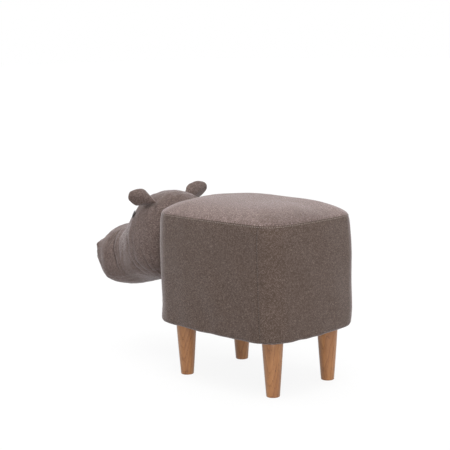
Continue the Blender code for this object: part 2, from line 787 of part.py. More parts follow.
def make_neck(filling, drilled):
    """The oval board in the neck, and the two bolts and flanged nuts that hold it to the rail."""
    face_front = Matrix.Rotation(math.pi / 2, 3, "X")
    spot = (0, NECK_BOARD_REAR_Y, HEAD_BOLT_HEIGHT)
    outline = ellipse(NECK_BOARD_WIDTH, NECK_BOARD_HEIGHT)
    board = place("neck_board", prism_mesh(outline, 0, NECK_BOARD), "plywood", spot, face_front)
    wide = ellipse(NECK_BOARD_WIDTH + 2 * GAP, NECK_BOARD_HEIGHT + 2 * GAP)
    pocket = prism_mesh(wide, -OVERRUN, NECK_BOARD + GAP)
    cut(filling, place_cutter("neck_board_pocket", pocket, spot, face_front))
    tip = NECK_BOARD + HEAD_NUT_FLANGE + GAP + HEAD_BOLT_TIP
    shank_start = NECK_BOARD_REAR_Y - RAIL_REAR_Y - GAP
    bolt_profile = (
        (0, tip),
        (HEAD_BOLT_RADIUS, tip),
        (HEAD_BOLT_RADIUS, shank_start),
        (HEAD_BOLT_HEAD_RADIUS, shank_start),
        (HEAD_BOLT_HEAD_RADIUS, shank_start - HEAD_BOLT_HEAD),
        (0, shank_start - HEAD_BOLT_HEAD),
    )
    bolt = turned(bolt_profile, BOLT_SIDES)
    bore = HEAD_BOLT_RADIUS + GAP
    flange_start = NECK_BOARD + GAP
    flange_end = flange_start + HEAD_NUT_FLANGE
    nut_profile = (
        (bore, flange_end),
        (HEAD_NUT_RADIUS, flange_end),
        (HEAD_NUT_RADIUS, flange_start),
        (HEAD_NUT_BARREL_RADIUS, flange_start),
        (HEAD_NUT_BARREL_RADIUS, GAP),
        (bore, GAP),
    )
    nut = turned(nut_profile, BOLT_SIDES)
    bolt_hole = cylinder_mesh(bore, shank_start - HEAD_BOLT_HEAD, OVERRUN)
    barrel_hole = cylinder_mesh(HEAD_NUT_BARREL_RADIUS + GAP, -GAP, NECK_BOARD + GAP)
    nut_pocket = cylinder_mesh(HEAD_NUT_RADIUS + GAP, 0, tip + GAP)
    for side, x in (("left", HEAD_BOLT_SPREAD), ("right", -HEAD_BOLT_SPREAD)):
        here = (x, NECK_BOARD_REAR_Y, HEAD_BOLT_HEIGHT)
        place("head_bolt_" + side, bolt, "steel", here, face_front)
        place("head_nut_" + side, nut, "steel", here, face_front)
        through = place_cutter("head_bolt_hole_" + side, bolt_hole, here, face_front)
        for piece in drilled:
            cut(piece, through)
        cut(board, place_cutter("head_nut_hole_" + side, barrel_hole, here, face_front))
        cut(filling, place_cutter("head_nut_pocket_" + side, nut_pocket, here, face_front))


def make_eyes(cover, filling):
    """Domed button eyes on shanks through the cover, each with a washer behind the fabric."""
    dome = []
    for step in range(EYE_DOME_STEPS + 1):
        angle = math.pi / 2 * step / EYE_DOME_STEPS
        height = EYE_SEAT + EYE_EDGE + (EYE_DOME - EYE_EDGE) * math.cos(angle)
        dome.append((EYE_RADIUS * math.sin(angle), height))
    profile = dome + [
        (EYE_RADIUS, EYE_SEAT),
        (EYE_SHANK_RADIUS, EYE_SEAT),
        (EYE_SHANK_RADIUS, -EYE_SHANK),
        (0, -EYE_SHANK),
    ]
    eye = turned(profile, EYE_SIDES)
    washer_top = -FABRIC - WASHER_SEAT
    bore = EYE_SHANK_RADIUS + GAP
    washer_profile = (
        (bore, washer_top),
        (WASHER_RADIUS, washer_top),
        (WASHER_RADIUS, washer_top - WASHER_THICKNESS),
        (bore, washer_top - WASHER_THICKNESS),
    )
    washer = turned(washer_profile, BOLT_SIDES)
    shank_hole = cylinder_mesh(bore, -EYE_SHANK - GAP, EYE_DOME)
    pocket = cylinder_mesh(WASHER_RADIUS + GAP, washer_top - WASHER_THICKNESS - GAP, EYE_DOME)
    for side, spot, normal in eye_seats():
        turn = normal.to_track_quat("Z", "Y").to_matrix()
        place("eye_" + side, eye, "eye_black", spot, turn)
        place("eye_washer_" + side, washer, "washer_plastic", spot, turn)
        shank = place_cutter("eye_shank_hole_" + side, shank_hole, spot, turn)
        cut(cover, shank)
        cut(filling, shank)
        cut(filling, place_cutter("eye_washer_pocket_" + side, pocket, spot, turn))


def ear_mesh(seat, side):
    """A leaf-shaped ear from inside the head to its tip; side is 1 on the left and -1 on the right."""
    level = math.cos(EAR_RISE)
    along = Vector((level * math.cos(EAR_SWEEP), -level * math.sin(EAR_SWEEP), math.sin(EAR_RISE)))
    flat = Vector((math.sin(EAR_SWEEP), math.cos(EAR_SWEEP), 0))
    back = flat * math.cos(EAR_ROLL) - flat.cross(along) * math.sin(EAR_ROLL)
    across = back.cross(along)
    rings = []
    for place_share, width_share, thick_share, cup_share in [(0, *EAR_SHARES[0][1:]), *EAR_SHARES]:
        reach = EAR_LENGTH * place_share if rings else -EAR_ROOT
        skew = -EAR_BEND * math.sin(math.pi * place_share)
        curl = EAR_CURL * place_share**2
        spots = []
        for step in range(EAR_SIDES):
            angle = 2 * math.pi * step / EAR_SIDES
            aside = EAR_WIDTH / 2 * width_share * math.cos(angle) + skew
            bend = EAR_CUP * cup_share * math.cos(angle) ** 2
            lift = EAR_THICKNESS / 2 * thick_share * math.sin(angle) - bend + curl
            spots.append(seat + along * reach + across * aside + back * lift)
        rings.append(spots)
    tip = seat + along * EAR_LENGTH + back * EAR_CURL
    bm = loft(rings, caps=True, point=tip)
    if side < 0:
        bmesh.ops.scale(bm, verts=bm.verts, vec=(-1, 1, 1))
        bmesh.ops.reverse_faces(bm, faces=bm.faces)
    return mesh_of(bm)


def make_ears():
    """The two ears, seated on the head."""
    bm = head_form()
    tree = BVHTree.FromBMesh(bm)
    above = Vector((EAR_SPREAD, FRONT_Y - EAR_FROM_FRONT, OVERRUN + HEAD_CHIN))
    seat, _, _, _ = tree.ray_cast(above, Vector((0, 0, -1)))
    bm.free()
    clearance = place_cutter("head_clearance", mesh_of(head_form(-GAP)))
    for name, side in (("left", 1), ("right", -1)):
        cut(place("ear_" + name, ear_mesh(seat, side), "cover_fabric"), clearance)


def main():
    """Builds the stool, inside to outside."""
    make_boards()
    make_legs_and_posts()
    rail = make_head_rail()
    wrap = make_side_wrap()
    sides = make_sides(seam_wedges())
    make_seat()
    cover, filling = make_head(body_clearance())
    make_neck(filling, (rail, wrap, *sides["front"]))
    make_eyes(cover, filling)
    make_ears()


main()
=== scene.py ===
"""Hippo footstool: its padded cover, stuffed head, turned legs, eyes and stitches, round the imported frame.

All lengths are in metres. The nose points to -Y, the hippo's left flank to +X and +Z is up.
"""

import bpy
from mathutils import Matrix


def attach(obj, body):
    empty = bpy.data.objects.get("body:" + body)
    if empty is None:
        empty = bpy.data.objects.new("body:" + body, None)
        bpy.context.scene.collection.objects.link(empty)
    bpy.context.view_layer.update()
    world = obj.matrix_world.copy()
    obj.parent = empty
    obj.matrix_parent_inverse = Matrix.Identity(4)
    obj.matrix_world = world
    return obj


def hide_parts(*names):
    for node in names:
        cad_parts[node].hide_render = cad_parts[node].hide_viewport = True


bl_info = {
    "name": "Hippo Footstool",
    "version": (1, 0, 0),
    "blender": (4, 5, 0),
    "location": "View3D > Sidebar > Footstool",
    "description": "Dresses the hippo footstool's frame with its cover, legs, eyes and stitches",
    "category": "Object",
}

import math

import bmesh
import bpy
import numpy as np
from bpy.props import FloatProperty, FloatVectorProperty, PointerProperty
from mathutils import Matrix, Vector
from mathutils.bvhtree import BVHTree

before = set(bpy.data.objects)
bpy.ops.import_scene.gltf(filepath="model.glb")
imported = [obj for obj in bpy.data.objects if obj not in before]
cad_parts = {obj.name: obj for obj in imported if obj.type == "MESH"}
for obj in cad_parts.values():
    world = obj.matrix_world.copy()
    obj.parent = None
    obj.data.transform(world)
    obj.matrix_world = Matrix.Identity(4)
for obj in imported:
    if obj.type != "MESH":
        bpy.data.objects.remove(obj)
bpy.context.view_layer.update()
BODY = "root"
MM = 0.001

# Plan of the body, as its solids have it
BODY_WIDTH = 0.272
BODY_LENGTH = 0.370
FLANK_BOW = 0.0105
FRONT_BOW = 0.038
REAR_BOW = 0.0142
FRONT_CORNER = 0.060
REAR_CORNER = 0.047
HEAD_REACH = 0.236
WALL_REACH = 0.0024
REAR_Y = (BODY_LENGTH + HEAD_REACH - WALL_REACH) / 2
FRONT_Y = REAR_Y - BODY_LENGTH
MIDDLE_Y = (FRONT_Y + REAR_Y) / 2

# Heights and layers of the body
LEG_HEIGHT = 0.1126
PANEL_BOTTOM = 0.114
TOP_SEAM = 0.3434
SEAT_BOARD_TOP = 0.3053
CROWN = 0.0301
CROWN_POWER = 3.8
WALL_DRAFT = 0.0037
WALL_BULGE = 0.004
BOTTOM_ROUND = 0.009
FLANGE_END = 0.022
FABRIC = 0.0015
FOAM_INNER = 0.0118
GLUE_GAP = 0.0003
WALL_START = PANEL_BOTTOM + BOTTOM_ROUND
# Place of the corner seams on their arcs, from the flank's end, at the bottom and at the top
FRONT_SEAM_SHARES = (0.74, 0.70)
REAR_SEAM_SHARES = (0.13, 0.03)
# How far the padding draws in at the front corners and stands out at the rear ones, in mm up the wall
TUCK_SHARES = (0.0, 0.05, 0.12, 0.20, 0.35, 0.50, 0.70, 1.0)
FRONT_TUCK = (1.2, 2.2, 3.8, 4.4, 4.2, 3.2, 1.4, 0.0)
SWELL_SHARES = (0.0, 0.12, 0.22, 0.35, 0.45, 0.55, 0.65, 0.78, 0.90, 1.0)
REAR_SWELL = (1.6, 2.0, 1.0, -0.4, -0.9, -0.6, 0.6, 2.0, 1.6, 0.6)
TUCK_WIDTH = 0.055
SWELL_WIDTH = 0.050
# How far the upper rim is drawn in, all round and more where the rear left edge is fullest
RIM_TUCK = 1.6 * MM
RIM_HEIGHT = 0.010
FULL_TUCK = 1.0 * MM
FULL_HEIGHT = 0.005
# Where the rear left edge is fullest: how far before the corner it starts, and how it rises and falls
FULL_START = 0.015
FULL_RISE = 0.065
FULL_FALL = 0.080
FULL_END = 0.045
FULL_POWER = 1.6
# Painted shade on the seat where that edge rolls down from the light
SEAT_SHADE = 0.27
SEAT_SHADE_END = 0.095
SEAT_SHADE_WIDTH = 0.036
SEAT_REACH = 0.18
# Roundness of the seat's crown and how much it falls towards the rear
CROWN_ROUND = 0.88
CROWN_TILT = 0.0075
# Half widths of the seams' lines and of the pull beside them, and where the top stitches lie
SEAM_LINE = 1.1 * MM
SEAM_PULL = 5 * MM
RIM_LINE = 1.4 * MM
SEAT_LINE = 1.8 * MM
SEAT_PULL = 6 * MM
STITCH_DROP = 2.8 * MM
STITCH_LINE = 0.8 * MM
# Heights of the cloth's slack and of its puckers at the seams
WALL_SLACK = 0.55 * MM
SEAT_SLACK = 0.7 * MM
RIM_PUCKER = 0.09 * MM
CORNER_PUCKER = 0.24 * MM
SEAT_PUCKER = 0.12 * MM
UNDER_SLACK = 0.3 * MM
UNDER_GATHER = 0.45 * MM
# How many waves add up to one smooth noise
WAVE_COUNT = 7

# Head, as its solid has it
HEAD_BACK = 0.023
MUZZLE_REACH = 0.218
NOSE_DOME = 0.018
HEAD_CHIN = 0.1515
HEAD_HEIGHT = 0.218
HEAD_HALF_WIDTH = 0.098
MUZZLE_SLOPE = 0.163
WIDEST_SHARE = 0.39
BROW_POWER = 2.2
JAW_POWER = 2.4
JAW_SQUARENESS = 1.1
# Place along the head, height of its top and bottom, half width and squareness of the jaw, as shares
HEAD_SHARES = (
    (0.000, 0.800, 0.215, 0.695, 0.0),
    (0.070, 0.865, 0.190, 0.800, 0.0),
    (0.180, 0.975, 0.115, 0.960, 0.0),
    (0.315, 1.000, 0.085, 1.000, 0.0),
    (0.475, 0.962, 0.070, 0.990, 0.0),
    (0.585, 0.812, 0.045, 0.925, 0.0),
    (0.697, 0.665, 0.020, 0.915, 0.0),
    (0.843, 0.618, 0.008, 0.962, 0.2),
    (0.910, 0.602, 0.043, 0.925, 0.6),
    (1.000, 0.545, 0.215, 0.866, 1.0),
)

# Folds of the head's cover: depth and half width in mm, then place along the head and angle round it
HEAD_FOLDS = (
    (1.6, 2.2, ((0.785, 60), (0.755, 36), (0.74, 20), (0.695, 0), (0.655, -26))),
    (1.0, 1.7, ((0.79, 62), (0.78, 44), (0.805, 28), (0.845, 16))),
    (0.9, 1.6, ((0.80, 52), (0.815, 37), (0.835, 27))),
    (1.0, 1.9, ((0.66, 44), (0.68, 24), (0.65, 10), (0.64, -2))),
    (0.7, 3.2, ((0.56, 34), (0.515, 18), (0.485, 6), (0.485, 0), (0.455, -10))),
    (0.5, 2.2, ((0.45, 22), (0.40, 1), (0.37, -8))),
    (1.0, 2.2, ((0.425, 3), (0.385, -11), (0.35, -18), (0.26, -40))),
    (0.9, 2.2, ((0.45, -6), (0.415, -23), (0.33, -46))),
    (0.9, 2.2, ((0.20, 4), (0.185, -16), (0.165, -44))),
    (0.9, 2.2, ((0.30, 3), (0.245, -13), (0.20, -42))),
    (0.7, 3.4, ((0.655, -4), (0.60, -32))),
    (0.7, 3.0, ((0.34, 66), (0.225, 48), (0.195, 42))),
)
# The muzzle's seam below its corners: place along the head and angle round it, down to the chin
CHIN_SEAM = (
    (1.0, 18), (0.98, 11), (0.96, 4), (0.945, 0), (0.915, -2), (0.85, -5),
    (0.805, -16), (0.79, -30), (0.795, -47), (0.815, -60), (0.84, -90),
)
# Columns of points round the head's cover
HEAD_COLUMNS = 340
# Length of the head's cover and its radius, which set the size of its puckers
COVER_LENGTH = 0.24
COVER_RADIUS = 0.09
# How far the head's cover wanders, ripples, puckers at its seams and dents round the eyes
HEAD_SLACK = 0.7 * MM
HEAD_RIPPLE = 0.22 * MM
MUZZLE_PUCKER = 0.3 * MM
NECK_PUCKER = 0.6 * MM
TEMPLE_SWELL = 0.8 * MM
NECK_GROOVE = 3.2 * MM
EYE_DENT = 0.5 * MM
# The far side's folds are a little shallower than the near side's
FAR_FOLDS = 0.9
# Painted shade of the cloth in the folds, for each mm of their depth, and in the seams and creases
FOLD_SHADE = 0.46
CHIN_SHADE = 0.36
NECK_SHADE = 0.35
DEEPEST_SHADE = 0.65
# Painted shade in the crease under the ear, in metres along, across and behind the ear from its root, and its
# half width
CREASE_START = (0.014, 0.0165, -0.009)
CREASE_END = (0.0, 0.006, 0.017)
CREASE_WIDTH = 3.2 * MM
# Gap between the head and the body, and how deep the muzzle's opening and the back of its panel lie
NECK_GAP = 0.4 * MM
OPENING_DEPTH = 1.2 * MM
PANEL_DEPTH = 0.9 * MM
# From the middle of the muzzle panel to its seam
MUZZLE_HALF = 0.07

# Ears, as their solids have them
EAR_SPREAD = 0.0533
EAR_FROM_FRONT = 0.0529
EAR_LENGTH = 0.0645
EAR_WIDTH = 0.0375
EAR_THICKNESS = 0.008
EAR_CUP = 0.0116
EAR_CURL = 0.0021
EAR_BEND = 0.0022
# How far the ear goes into the head, as a share of its length, and the heights of its creases and wrinkles
EAR_SUNK = 0.155
EAR_CREASE = 1.0 * MM
EAR_WRINKLE = 0.35 * MM
EAR_COLUMNS = 56
EAR_SWEEP = math.radians(12.9)
EAR_RISE = math.radians(14.6)
EAR_ROLL = math.radians(7.1)
# Place along the ear, width, thickness and cup, as shares
EAR_SHARES = (
    (0.00, 0.405, 1.00, 0.80),
    (0.16, 0.730, 1.00, 1.00),
    (0.35, 0.995, 0.95, 0.90),
    (0.55, 1.000, 0.85, 0.70),
    (0.72, 0.915, 0.75, 0.55),
    (0.87, 0.710, 0.60, 0.35),
    (0.96, 0.470, 0.45, 0.15),
)

# Where the upper and lower edges of the left and right ear stand out, in mm from the root to the tip
EAR_EDGE_SHARES = (0.0, 0.12, 0.28, 0.40, 0.50, 0.60, 0.72, 0.86, 0.96, 1.0)
EAR_UPPER = {
    1: (-2.0, -0.5, 0.0, 0.6, 0.1, -0.9, -2.0, -2.2, -0.9, 0.0),
    -1: (5.0, 3.6, 1.5, -0.3, -0.6, -0.4, -0.6, -0.8, -0.4, 0.0),
}
EAR_LOWER = {
    1: (-1.0, -2.4, -3.2, -2.8, -1.2, 0.4, -0.6, -1.8, -0.8, 0.0),
    -1: (1.0, 1.0, 0.8, 0.8, 0.8, 0.8, 0.4, 0.0, 0.0, 0.0),
}
# How far the root of each ear is sewn behind and below its axis
EAR_SET_BACK = {1: 0.006, -1: 0.0}
EAR_DROP = {1: 0.005, -1: 0.0}

# Eyes: radius, height of the dome, thickness of the rim, and how far each is moved off its seat
EYE_RADIUS = 8.4 * MM
EYE_DOME = 2.8 * MM
EYE_RIM = 1.0 * MM
EYE_SHIFT = (0, 0.6 * MM, 1.0 * MM)

# Nostrils: half width, half height, place, slant, rise of the thread and width of one stitch
NOSTRIL_WIDE = 8.5 * MM
NOSTRIL_TALL = 5.5 * MM
NOSTRIL_X = 0.030
NOSTRIL_Z = 0.252
NOSTRIL_SLANT = 0.15
NOSTRIL_RISE = 0.9 * MM
SATIN_RIDGE = 0.22 * MM
SATIN_WIDTH = 1.0 * MM

# Legs: radii, rounding of the ends, swelling of the taper, and places on the floor
LEG_FOOT_RADIUS = 0.0135
LEG_TOP_RADIUS = 0.0213
LEG_EDGE = 1.2 * MM
LEG_SWELL = 0.25 * MM
LEG_SPOTS = {
    "leg_front_left": (0.0817, 0.003626),
    "leg_front_right": (-0.0817, 0.003626),
    "leg_rear_left": (0.0817, 0.250026),
    "leg_rear_right": (-0.0817, 0.250026),
}

# Dust cloth and staples under the body, drawn in from its plan
CLOTH_INSET = 13 * MM
CLOTH_THICKNESS = 0.8 * MM
CLOTH_PUCKER = 0.10 * MM
STAPLE_SETBACK = 5 * MM
STAPLE_PITCH = 0.032
STAPLE_SCATTER = 0.25

# Stitches: radius and rise of the top seam's, then length, radius, rise and pitch of the corner seams'
TOP_THREAD = (0.42 * MM, 0.45 * MM)
CORNER_THREAD = (2.2 * MM, 0.9 * MM, 0.4 * MM)
CORNER_PITCH = 4.4 * MM

# Direction, strength and width in degrees of each soft light, and the world's brighter side
LAMPS = {
    "over": ((0.11, -0.09, 1.0), 1.7, 55),
    "near": ((0.40, 0.45, 1.0), 1.2, 50),
    "front": ((0.62, 0.78, 0.12), 1.8, 40),
}
BRIGHT_SIDE = (-0.93, -0.37, 0.0)
WORLD_GLOW = (0.10, 1.20)

# Camera, as fitted to the photo: focal length in mm, angles in degrees and place
CAMERA_LENS = 96
CAMERA_TURN = 135.5
CAMERA_PITCH = 8.76
CAMERA_ROLL = -0.98
CAMERA_PLACE = (1.7379, 1.8090, 0.6913)


class FootstoolSettings(bpy.types.PropertyGroup):
    """Sizes and colours of the footstool that a user would change."""

    cloth_colour: FloatVectorProperty(
        name="Cloth",
        description="Colour of the cover's cloth",
        subtype="COLOR",
        default=(0.103, 0.0715, 0.0575),
    )
    cloth_dark: FloatVectorProperty(
        name="Dark threads",
        description="Colour of the darker threads",
        subtype="COLOR",
        default=(0.048, 0.032, 0.025),
    )
    cloth_light: FloatVectorProperty(
        name="Light threads",
        description="Colour of the lighter threads",
        subtype="COLOR",
        default=(0.24, 0.18, 0.152),
    )
    thread_pitch: FloatProperty(
        name="Thread pitch",
        description="Distance between threads of the weave",
        default=0.0015,
        unit="LENGTH",
    )
    thread_colour: FloatVectorProperty(
        name="Sewing thread",
        description="Colour of the top stitches",
        subtype="COLOR",
        default=(0.36, 0.31, 0.28),
    )
    stitch_pitch: FloatProperty(
        name="Stitch pitch",
        description="Distance from one stitch to the next",
        default=0.0046,
        unit="LENGTH",
    )
    stitch_length: FloatProperty(
        name="Stitch length",
        description="Length of one stitch",
        default=0.0034,
        unit="LENGTH",
    )
    groove: FloatProperty(
        name="Seam groove",
        description="How deep the padding draws in at a seam",
        default=0.0012,
        unit="LENGTH",
    )
    fold_depth: FloatProperty(
        name="Fold depth",
        description="Strength of the folds on the head",
        default=1.0,
        min=0.0,
        max=3.0,
    )
    wood_light: FloatVectorProperty(
        name="Leg wood",
        description="Main colour of the legs",
        subtype="COLOR",
        default=(0.435, 0.193, 0.065),
    )
    wood_dark: FloatVectorProperty(
        name="Leg grain",
        description="Colour of the legs' darker grain",
        subtype="COLOR",
        default=(0.235, 0.082, 0.021),
    )
    floor_colour: FloatVectorProperty(
        name="Floor",
        description="Colour of the floor and backdrop",
        subtype="COLOR",
        default=(0.58, 0.58, 0.58),
    )


def settings():
    """The footstool's settings."""
    return bpy.context.scene.footstool


def bow_radius(chord, bow):
    """Radius of an arc that rises by bow over a chord."""
    return (chord * chord / 4 + bow * bow) / (2 * bow)


def circles_meet(first, first_radius, second, second_radius, outwards):
    """The point where two circles cross, on the side that lies outwards."""
    across = second - first
    span = np.linalg.norm(across)
    along = (first_radius**2 - second_radius**2 + span**2) / (2 * span)
    aside = math.sqrt(first_radius**2 - along**2)
    middle = first + across * (along / span)
    normal = np.array([-across[1], across[0]]) / span
    return max((middle + normal * aside, middle - normal * aside), key=lambda spot: spot @ outwards)


def angle_of(vector):
    """Angle of a vector in plan."""
    return math.atan2(vector[1], vector[0])


def up_wall(height):
    """Share of the wall's height, from the round at its bottom to the top seam."""
    return np.clip((height - WALL_START) / (TOP_SEAM - WALL_START), 0, 1)


class BodyPlan:
    """Outline of the body, as running length, points and outward normals, from the front round the left."""

    def __init__(self):
        half = BODY_WIDTH / 2
        flank_radius = bow_radius(BODY_LENGTH, FLANK_BOW)
        front_radius = bow_radius(BODY_WIDTH, FRONT_BOW)
        rear_radius = bow_radius(BODY_WIDTH, REAR_BOW)
        flank = np.array([half - flank_radius, MIDDLE_Y])
        front = np.array([0, FRONT_Y + front_radius])
        rear = np.array([0, REAR_Y - rear_radius])
        front_corner = circles_meet(
            flank, flank_radius - FRONT_CORNER, front, front_radius - FRONT_CORNER, np.array([1, -1])
        )
        rear_corner = circles_meet(
            flank, flank_radius - REAR_CORNER, rear, rear_radius - REAR_CORNER, np.array([1, 1])
        )
        turns = [
            -math.pi / 2,
            angle_of(front_corner - front),
            angle_of(front_corner - flank),
            angle_of(rear_corner - flank),
            angle_of(rear_corner - rear),
            math.pi / 2,
        ]
        arcs = (
            (front, front_radius),
            (front_corner, FRONT_CORNER),
            (flank, flank_radius),
            (rear_corner, REAR_CORNER),
            (rear, rear_radius),
        )
        points, normals, lengths, ends = [], [], [], [0.0]
        for (centre, radius), first, last in zip(arcs, turns, turns[1:]):
            angles = np.linspace(first, last, 160, endpoint=False)
            facing = np.stack([np.cos(angles), np.sin(angles)], 1)
            points.append(centre + facing * radius)
            normals.append(facing)
            lengths.append(ends[-1] + (angles - first) * radius)
            ends.append(ends[-1] + (last - first) * radius)
        points = np.vstack([*points, [[0, REAR_Y]]])
        normals = np.vstack([*normals, [[0, 1]]])
        lengths = np.append(np.concatenate(lengths), ends[-1])
        flip = np.array([-1, 1])
        self.half = ends[-1]
        self.around = 2 * self.half
        self.lengths = np.concatenate([lengths, self.around - lengths[-2::-1]])
        self.points = np.vstack([points, points[-2::-1] * flip])
        self.normals = np.vstack([normals, normals[-2::-1] * flip])
        self.front_corner = (ends[1], ends[2])
        self.rear_corner = (ends[3], ends[4])
        self.front_middle = sum(self.front_corner) / 2
        self.rear_middle = sum(self.rear_corner) / 2
        self.front_centre = front
        self.front_radius = front_radius

    def at(self, run):
        """Points and normals at these running lengths."""
        run = np.mod(run, self.around)
        shape = run.shape + (2,)
        points = np.empty(shape)
        normals = np.empty(shape)
        for axis in (0, 1):
            points[..., axis] = np.interp(run, self.lengths, self.points[:, axis])
            normals[..., axis] = np.interp(run, self.lengths, self.normals[:, axis])
        normals /= np.linalg.norm(normals, axis=-1, keepdims=True)
        return points, normals

    def from_front(self, run):
        """Running length from the middle of the front, the shorter way round."""
        run = np.mod(run, self.around)
        return np.minimum(run, self.around - run)

    def seams(self, height):
        """Running lengths of the four corner seams at these heights, anticlockwise from the front left."""
        up = up_wall(height)
        low, high = FRONT_SEAM_SHARES
        start, end = self.front_corner
        front = end - (end - start) * (low + (high - low) * up)
        low, high = REAR_SEAM_SHARES
        start, end = self.rear_corner
        rear = start + (end - start) * (low + (high - low) * up)
        return front, rear, self.around - rear, self.around - front


PLAN = BodyPlan()
ROUND_END = FLANGE_END + BOTTOM_ROUND * math.pi / 2
WALL_END = ROUND_END + TOP_SEAM - WALL_START


def waves(first, second, scale, seed):
    """Smooth, repeatable noise between about -1 and 1 over two lengths, with features of this size."""
    draw = np.random.default_rng(seed)
    total = np.zeros(np.broadcast(first, second).shape)
    for _ in range(WAVE_COUNT):
        angle = draw.uniform(0, 2 * math.pi)
        pitch = scale * draw.uniform(0.7, 1.6)
        phase = draw.uniform(0, 2 * math.pi)
        total += np.sin(2 * math.pi * (first * math.cos(angle) + second * math.sin(angle)) / pitch + phase)
    return total / math.sqrt(WAVE_COUNT)


def bell(distance, width):
    """One at no distance, and falling off smoothly."""
    return np.exp(-((distance / width) ** 2))


def wall_inset(height):
    """How far the body's wall stands in from its plan at this height."""
    share = (height - WALL_START) / (TOP_SEAM - WALL_START)
    return WALL_DRAFT * share - WALL_BULGE * 4 * share * (1 - share)


def corner_tuck(run, height):
    """How far the front corners and the upper rim are drawn in, less how far the rear corners stand out."""
    up = up_wall(height)
    place = PLAN.from_front(run)
    front = bell(place - PLAN.front_middle, TUCK_WIDTH) * np.interp(up, TUCK_SHARES, FRONT_TUCK) * MM
    rear = bell(place - PLAN.rear_middle, SWELL_WIDTH) * np.interp(up, SWELL_SHARES, REAR_SWELL) * MM
    full = rear_fullness(run)
    rim = (RIM_TUCK + FULL_TUCK * full) * bell(TOP_SEAM - height, RIM_HEIGHT + FULL_HEIGHT * full)
    return front - rear + rim


def seam_distance(run, height):
    """Distance along the wall to the nearest corner seam."""
    run = np.mod(run, PLAN.around)
    return np.min([np.abs(run - seam) for seam in PLAN.seams(height)], axis=0)


def wall_relief(run, across, height):
    """How far the padded wall stands out from its plain form, across being the length up its profile."""
    groove = settings().groove
    seam = seam_distance(run, height)
    down = WALL_END - across
    relief = -0.75 * groove * bell(seam, SEAM_LINE) - 0.3 * groove * bell(seam, SEAM_PULL)
    relief -= 0.9 * groove * bell(down, RIM_LINE)
    relief -= 0.3 * MM * bell(down - STITCH_DROP, STITCH_LINE)
    away = (1 - bell(seam, 0.012)) * (1 - bell(down, 0.012))
    relief += WALL_SLACK * waves(run, across, 0.09, 11) * away
    relief += RIM_PUCKER * waves(run, across * 0.15, 0.014, 12) * bell(down - 4 * MM, 0.009)
    beside = bell(seam, 0.010) * (1 - bell(seam, 0.0015))
    relief += CORNER_PUCKER * waves(run * 0.12, across, 0.012, 13) * beside
    place = PLAN.from_front(run)
    at_front = bell(place - PLAN.front_middle, 0.030)
    at_rear = bell(place - PLAN.rear_middle, 0.026)
    gathers = (at_front + at_rear) * waves(run, across * 0.1, 0.008, 14)
    under = bell(across - ROUND_END + 0.004, 0.016)
    relief += under * (UNDER_SLACK * waves(run, across * 0.2, 0.028, 15) + UNDER_GATHER * gathers)
    flank_middle = (PLAN.front_corner[1] + PLAN.rear_corner[0]) / 2
    sag = bell(place - flank_middle, 0.08) + bell(place - PLAN.half, 0.06)
    relief += bell(across - ROUND_END + 0.007, 0.012) * (0.9 * sag - 1.4 * at_rear) * MM
    return relief


def wall_skin(run, across):
    """Points, outward normals and heights of the side panels' skin."""
    run, across = np.broadcast_arrays(np.asarray(run, float), np.asarray(across, float))
    turn = np.clip((across - FLANGE_END) / BOTTOM_ROUND, 0, math.pi / 2)
    wall = np.clip(across - ROUND_END, 0, None)
    height = PANEL_BOTTOM + BOTTOM_ROUND * (1 - np.cos(turn)) + wall
    inset = BOTTOM_ROUND * (1 - np.sin(turn)) + np.clip(FLANGE_END - across, 0, None)
    level = np.maximum(height, WALL_START)
    inset = inset + np.where(wall > 0, wall_inset(level), 0)
    step = 0.5 * MM
    lean = (wall_inset(level + step) - wall_inset(level - step)) / (2 * step)
    outward = np.sin(turn)
    upward = -np.cos(turn) + np.where(wall > 0, lean, 0)
    size = np.hypot(outward, upward)
    spots, facing = PLAN.at(run)
    inset = inset + corner_tuck(run, height)
    skin = np.empty(run.shape + (3,))
    normal = np.empty(run.shape + (3,))
    skin[..., :2] = spots - facing * inset[..., None]
    skin[..., 2] = height
    normal[..., :2] = facing * (outward / size)[..., None]
    normal[..., 2] = upward / size
    skin = skin + normal * wall_relief(run, across, height)[..., None]
    return skin, normal, height


def rear_fullness(run, past=FULL_END):
    """One where the rear left edge is fullest, and none this far past the middle of the rear."""
    run = np.mod(run, PLAN.around)
    rising = np.clip((run - PLAN.rear_corner[0] + FULL_START) / FULL_RISE, 0, 1)
    falling = np.clip((PLAN.half + past - run) / FULL_FALL, 0, 1)
    return (3 - 2 * rising) * rising**2 * (3 - 2 * falling) * falling**2


def crown_height(run, share):
    """Height of the seat's skin over the seam where the outline is drawn in by this share."""
    power = CROWN_POWER + FULL_POWER * rear_fullness(run)
    return CROWN * (1 - np.abs(share) ** power) ** CROWN_ROUND


def seat_shade(run, share):
    """How much painted shade darkens the seat's cloth where its fullest edge rolls down from the light."""
    run, share = np.broadcast_arrays(run, share)
    inwards = (1 - share) * SEAT_REACH
    return SEAT_SHADE * rear_fullness(run, SEAT_SHADE_END) * bell(inwards, SEAT_SHADE_WIDTH)


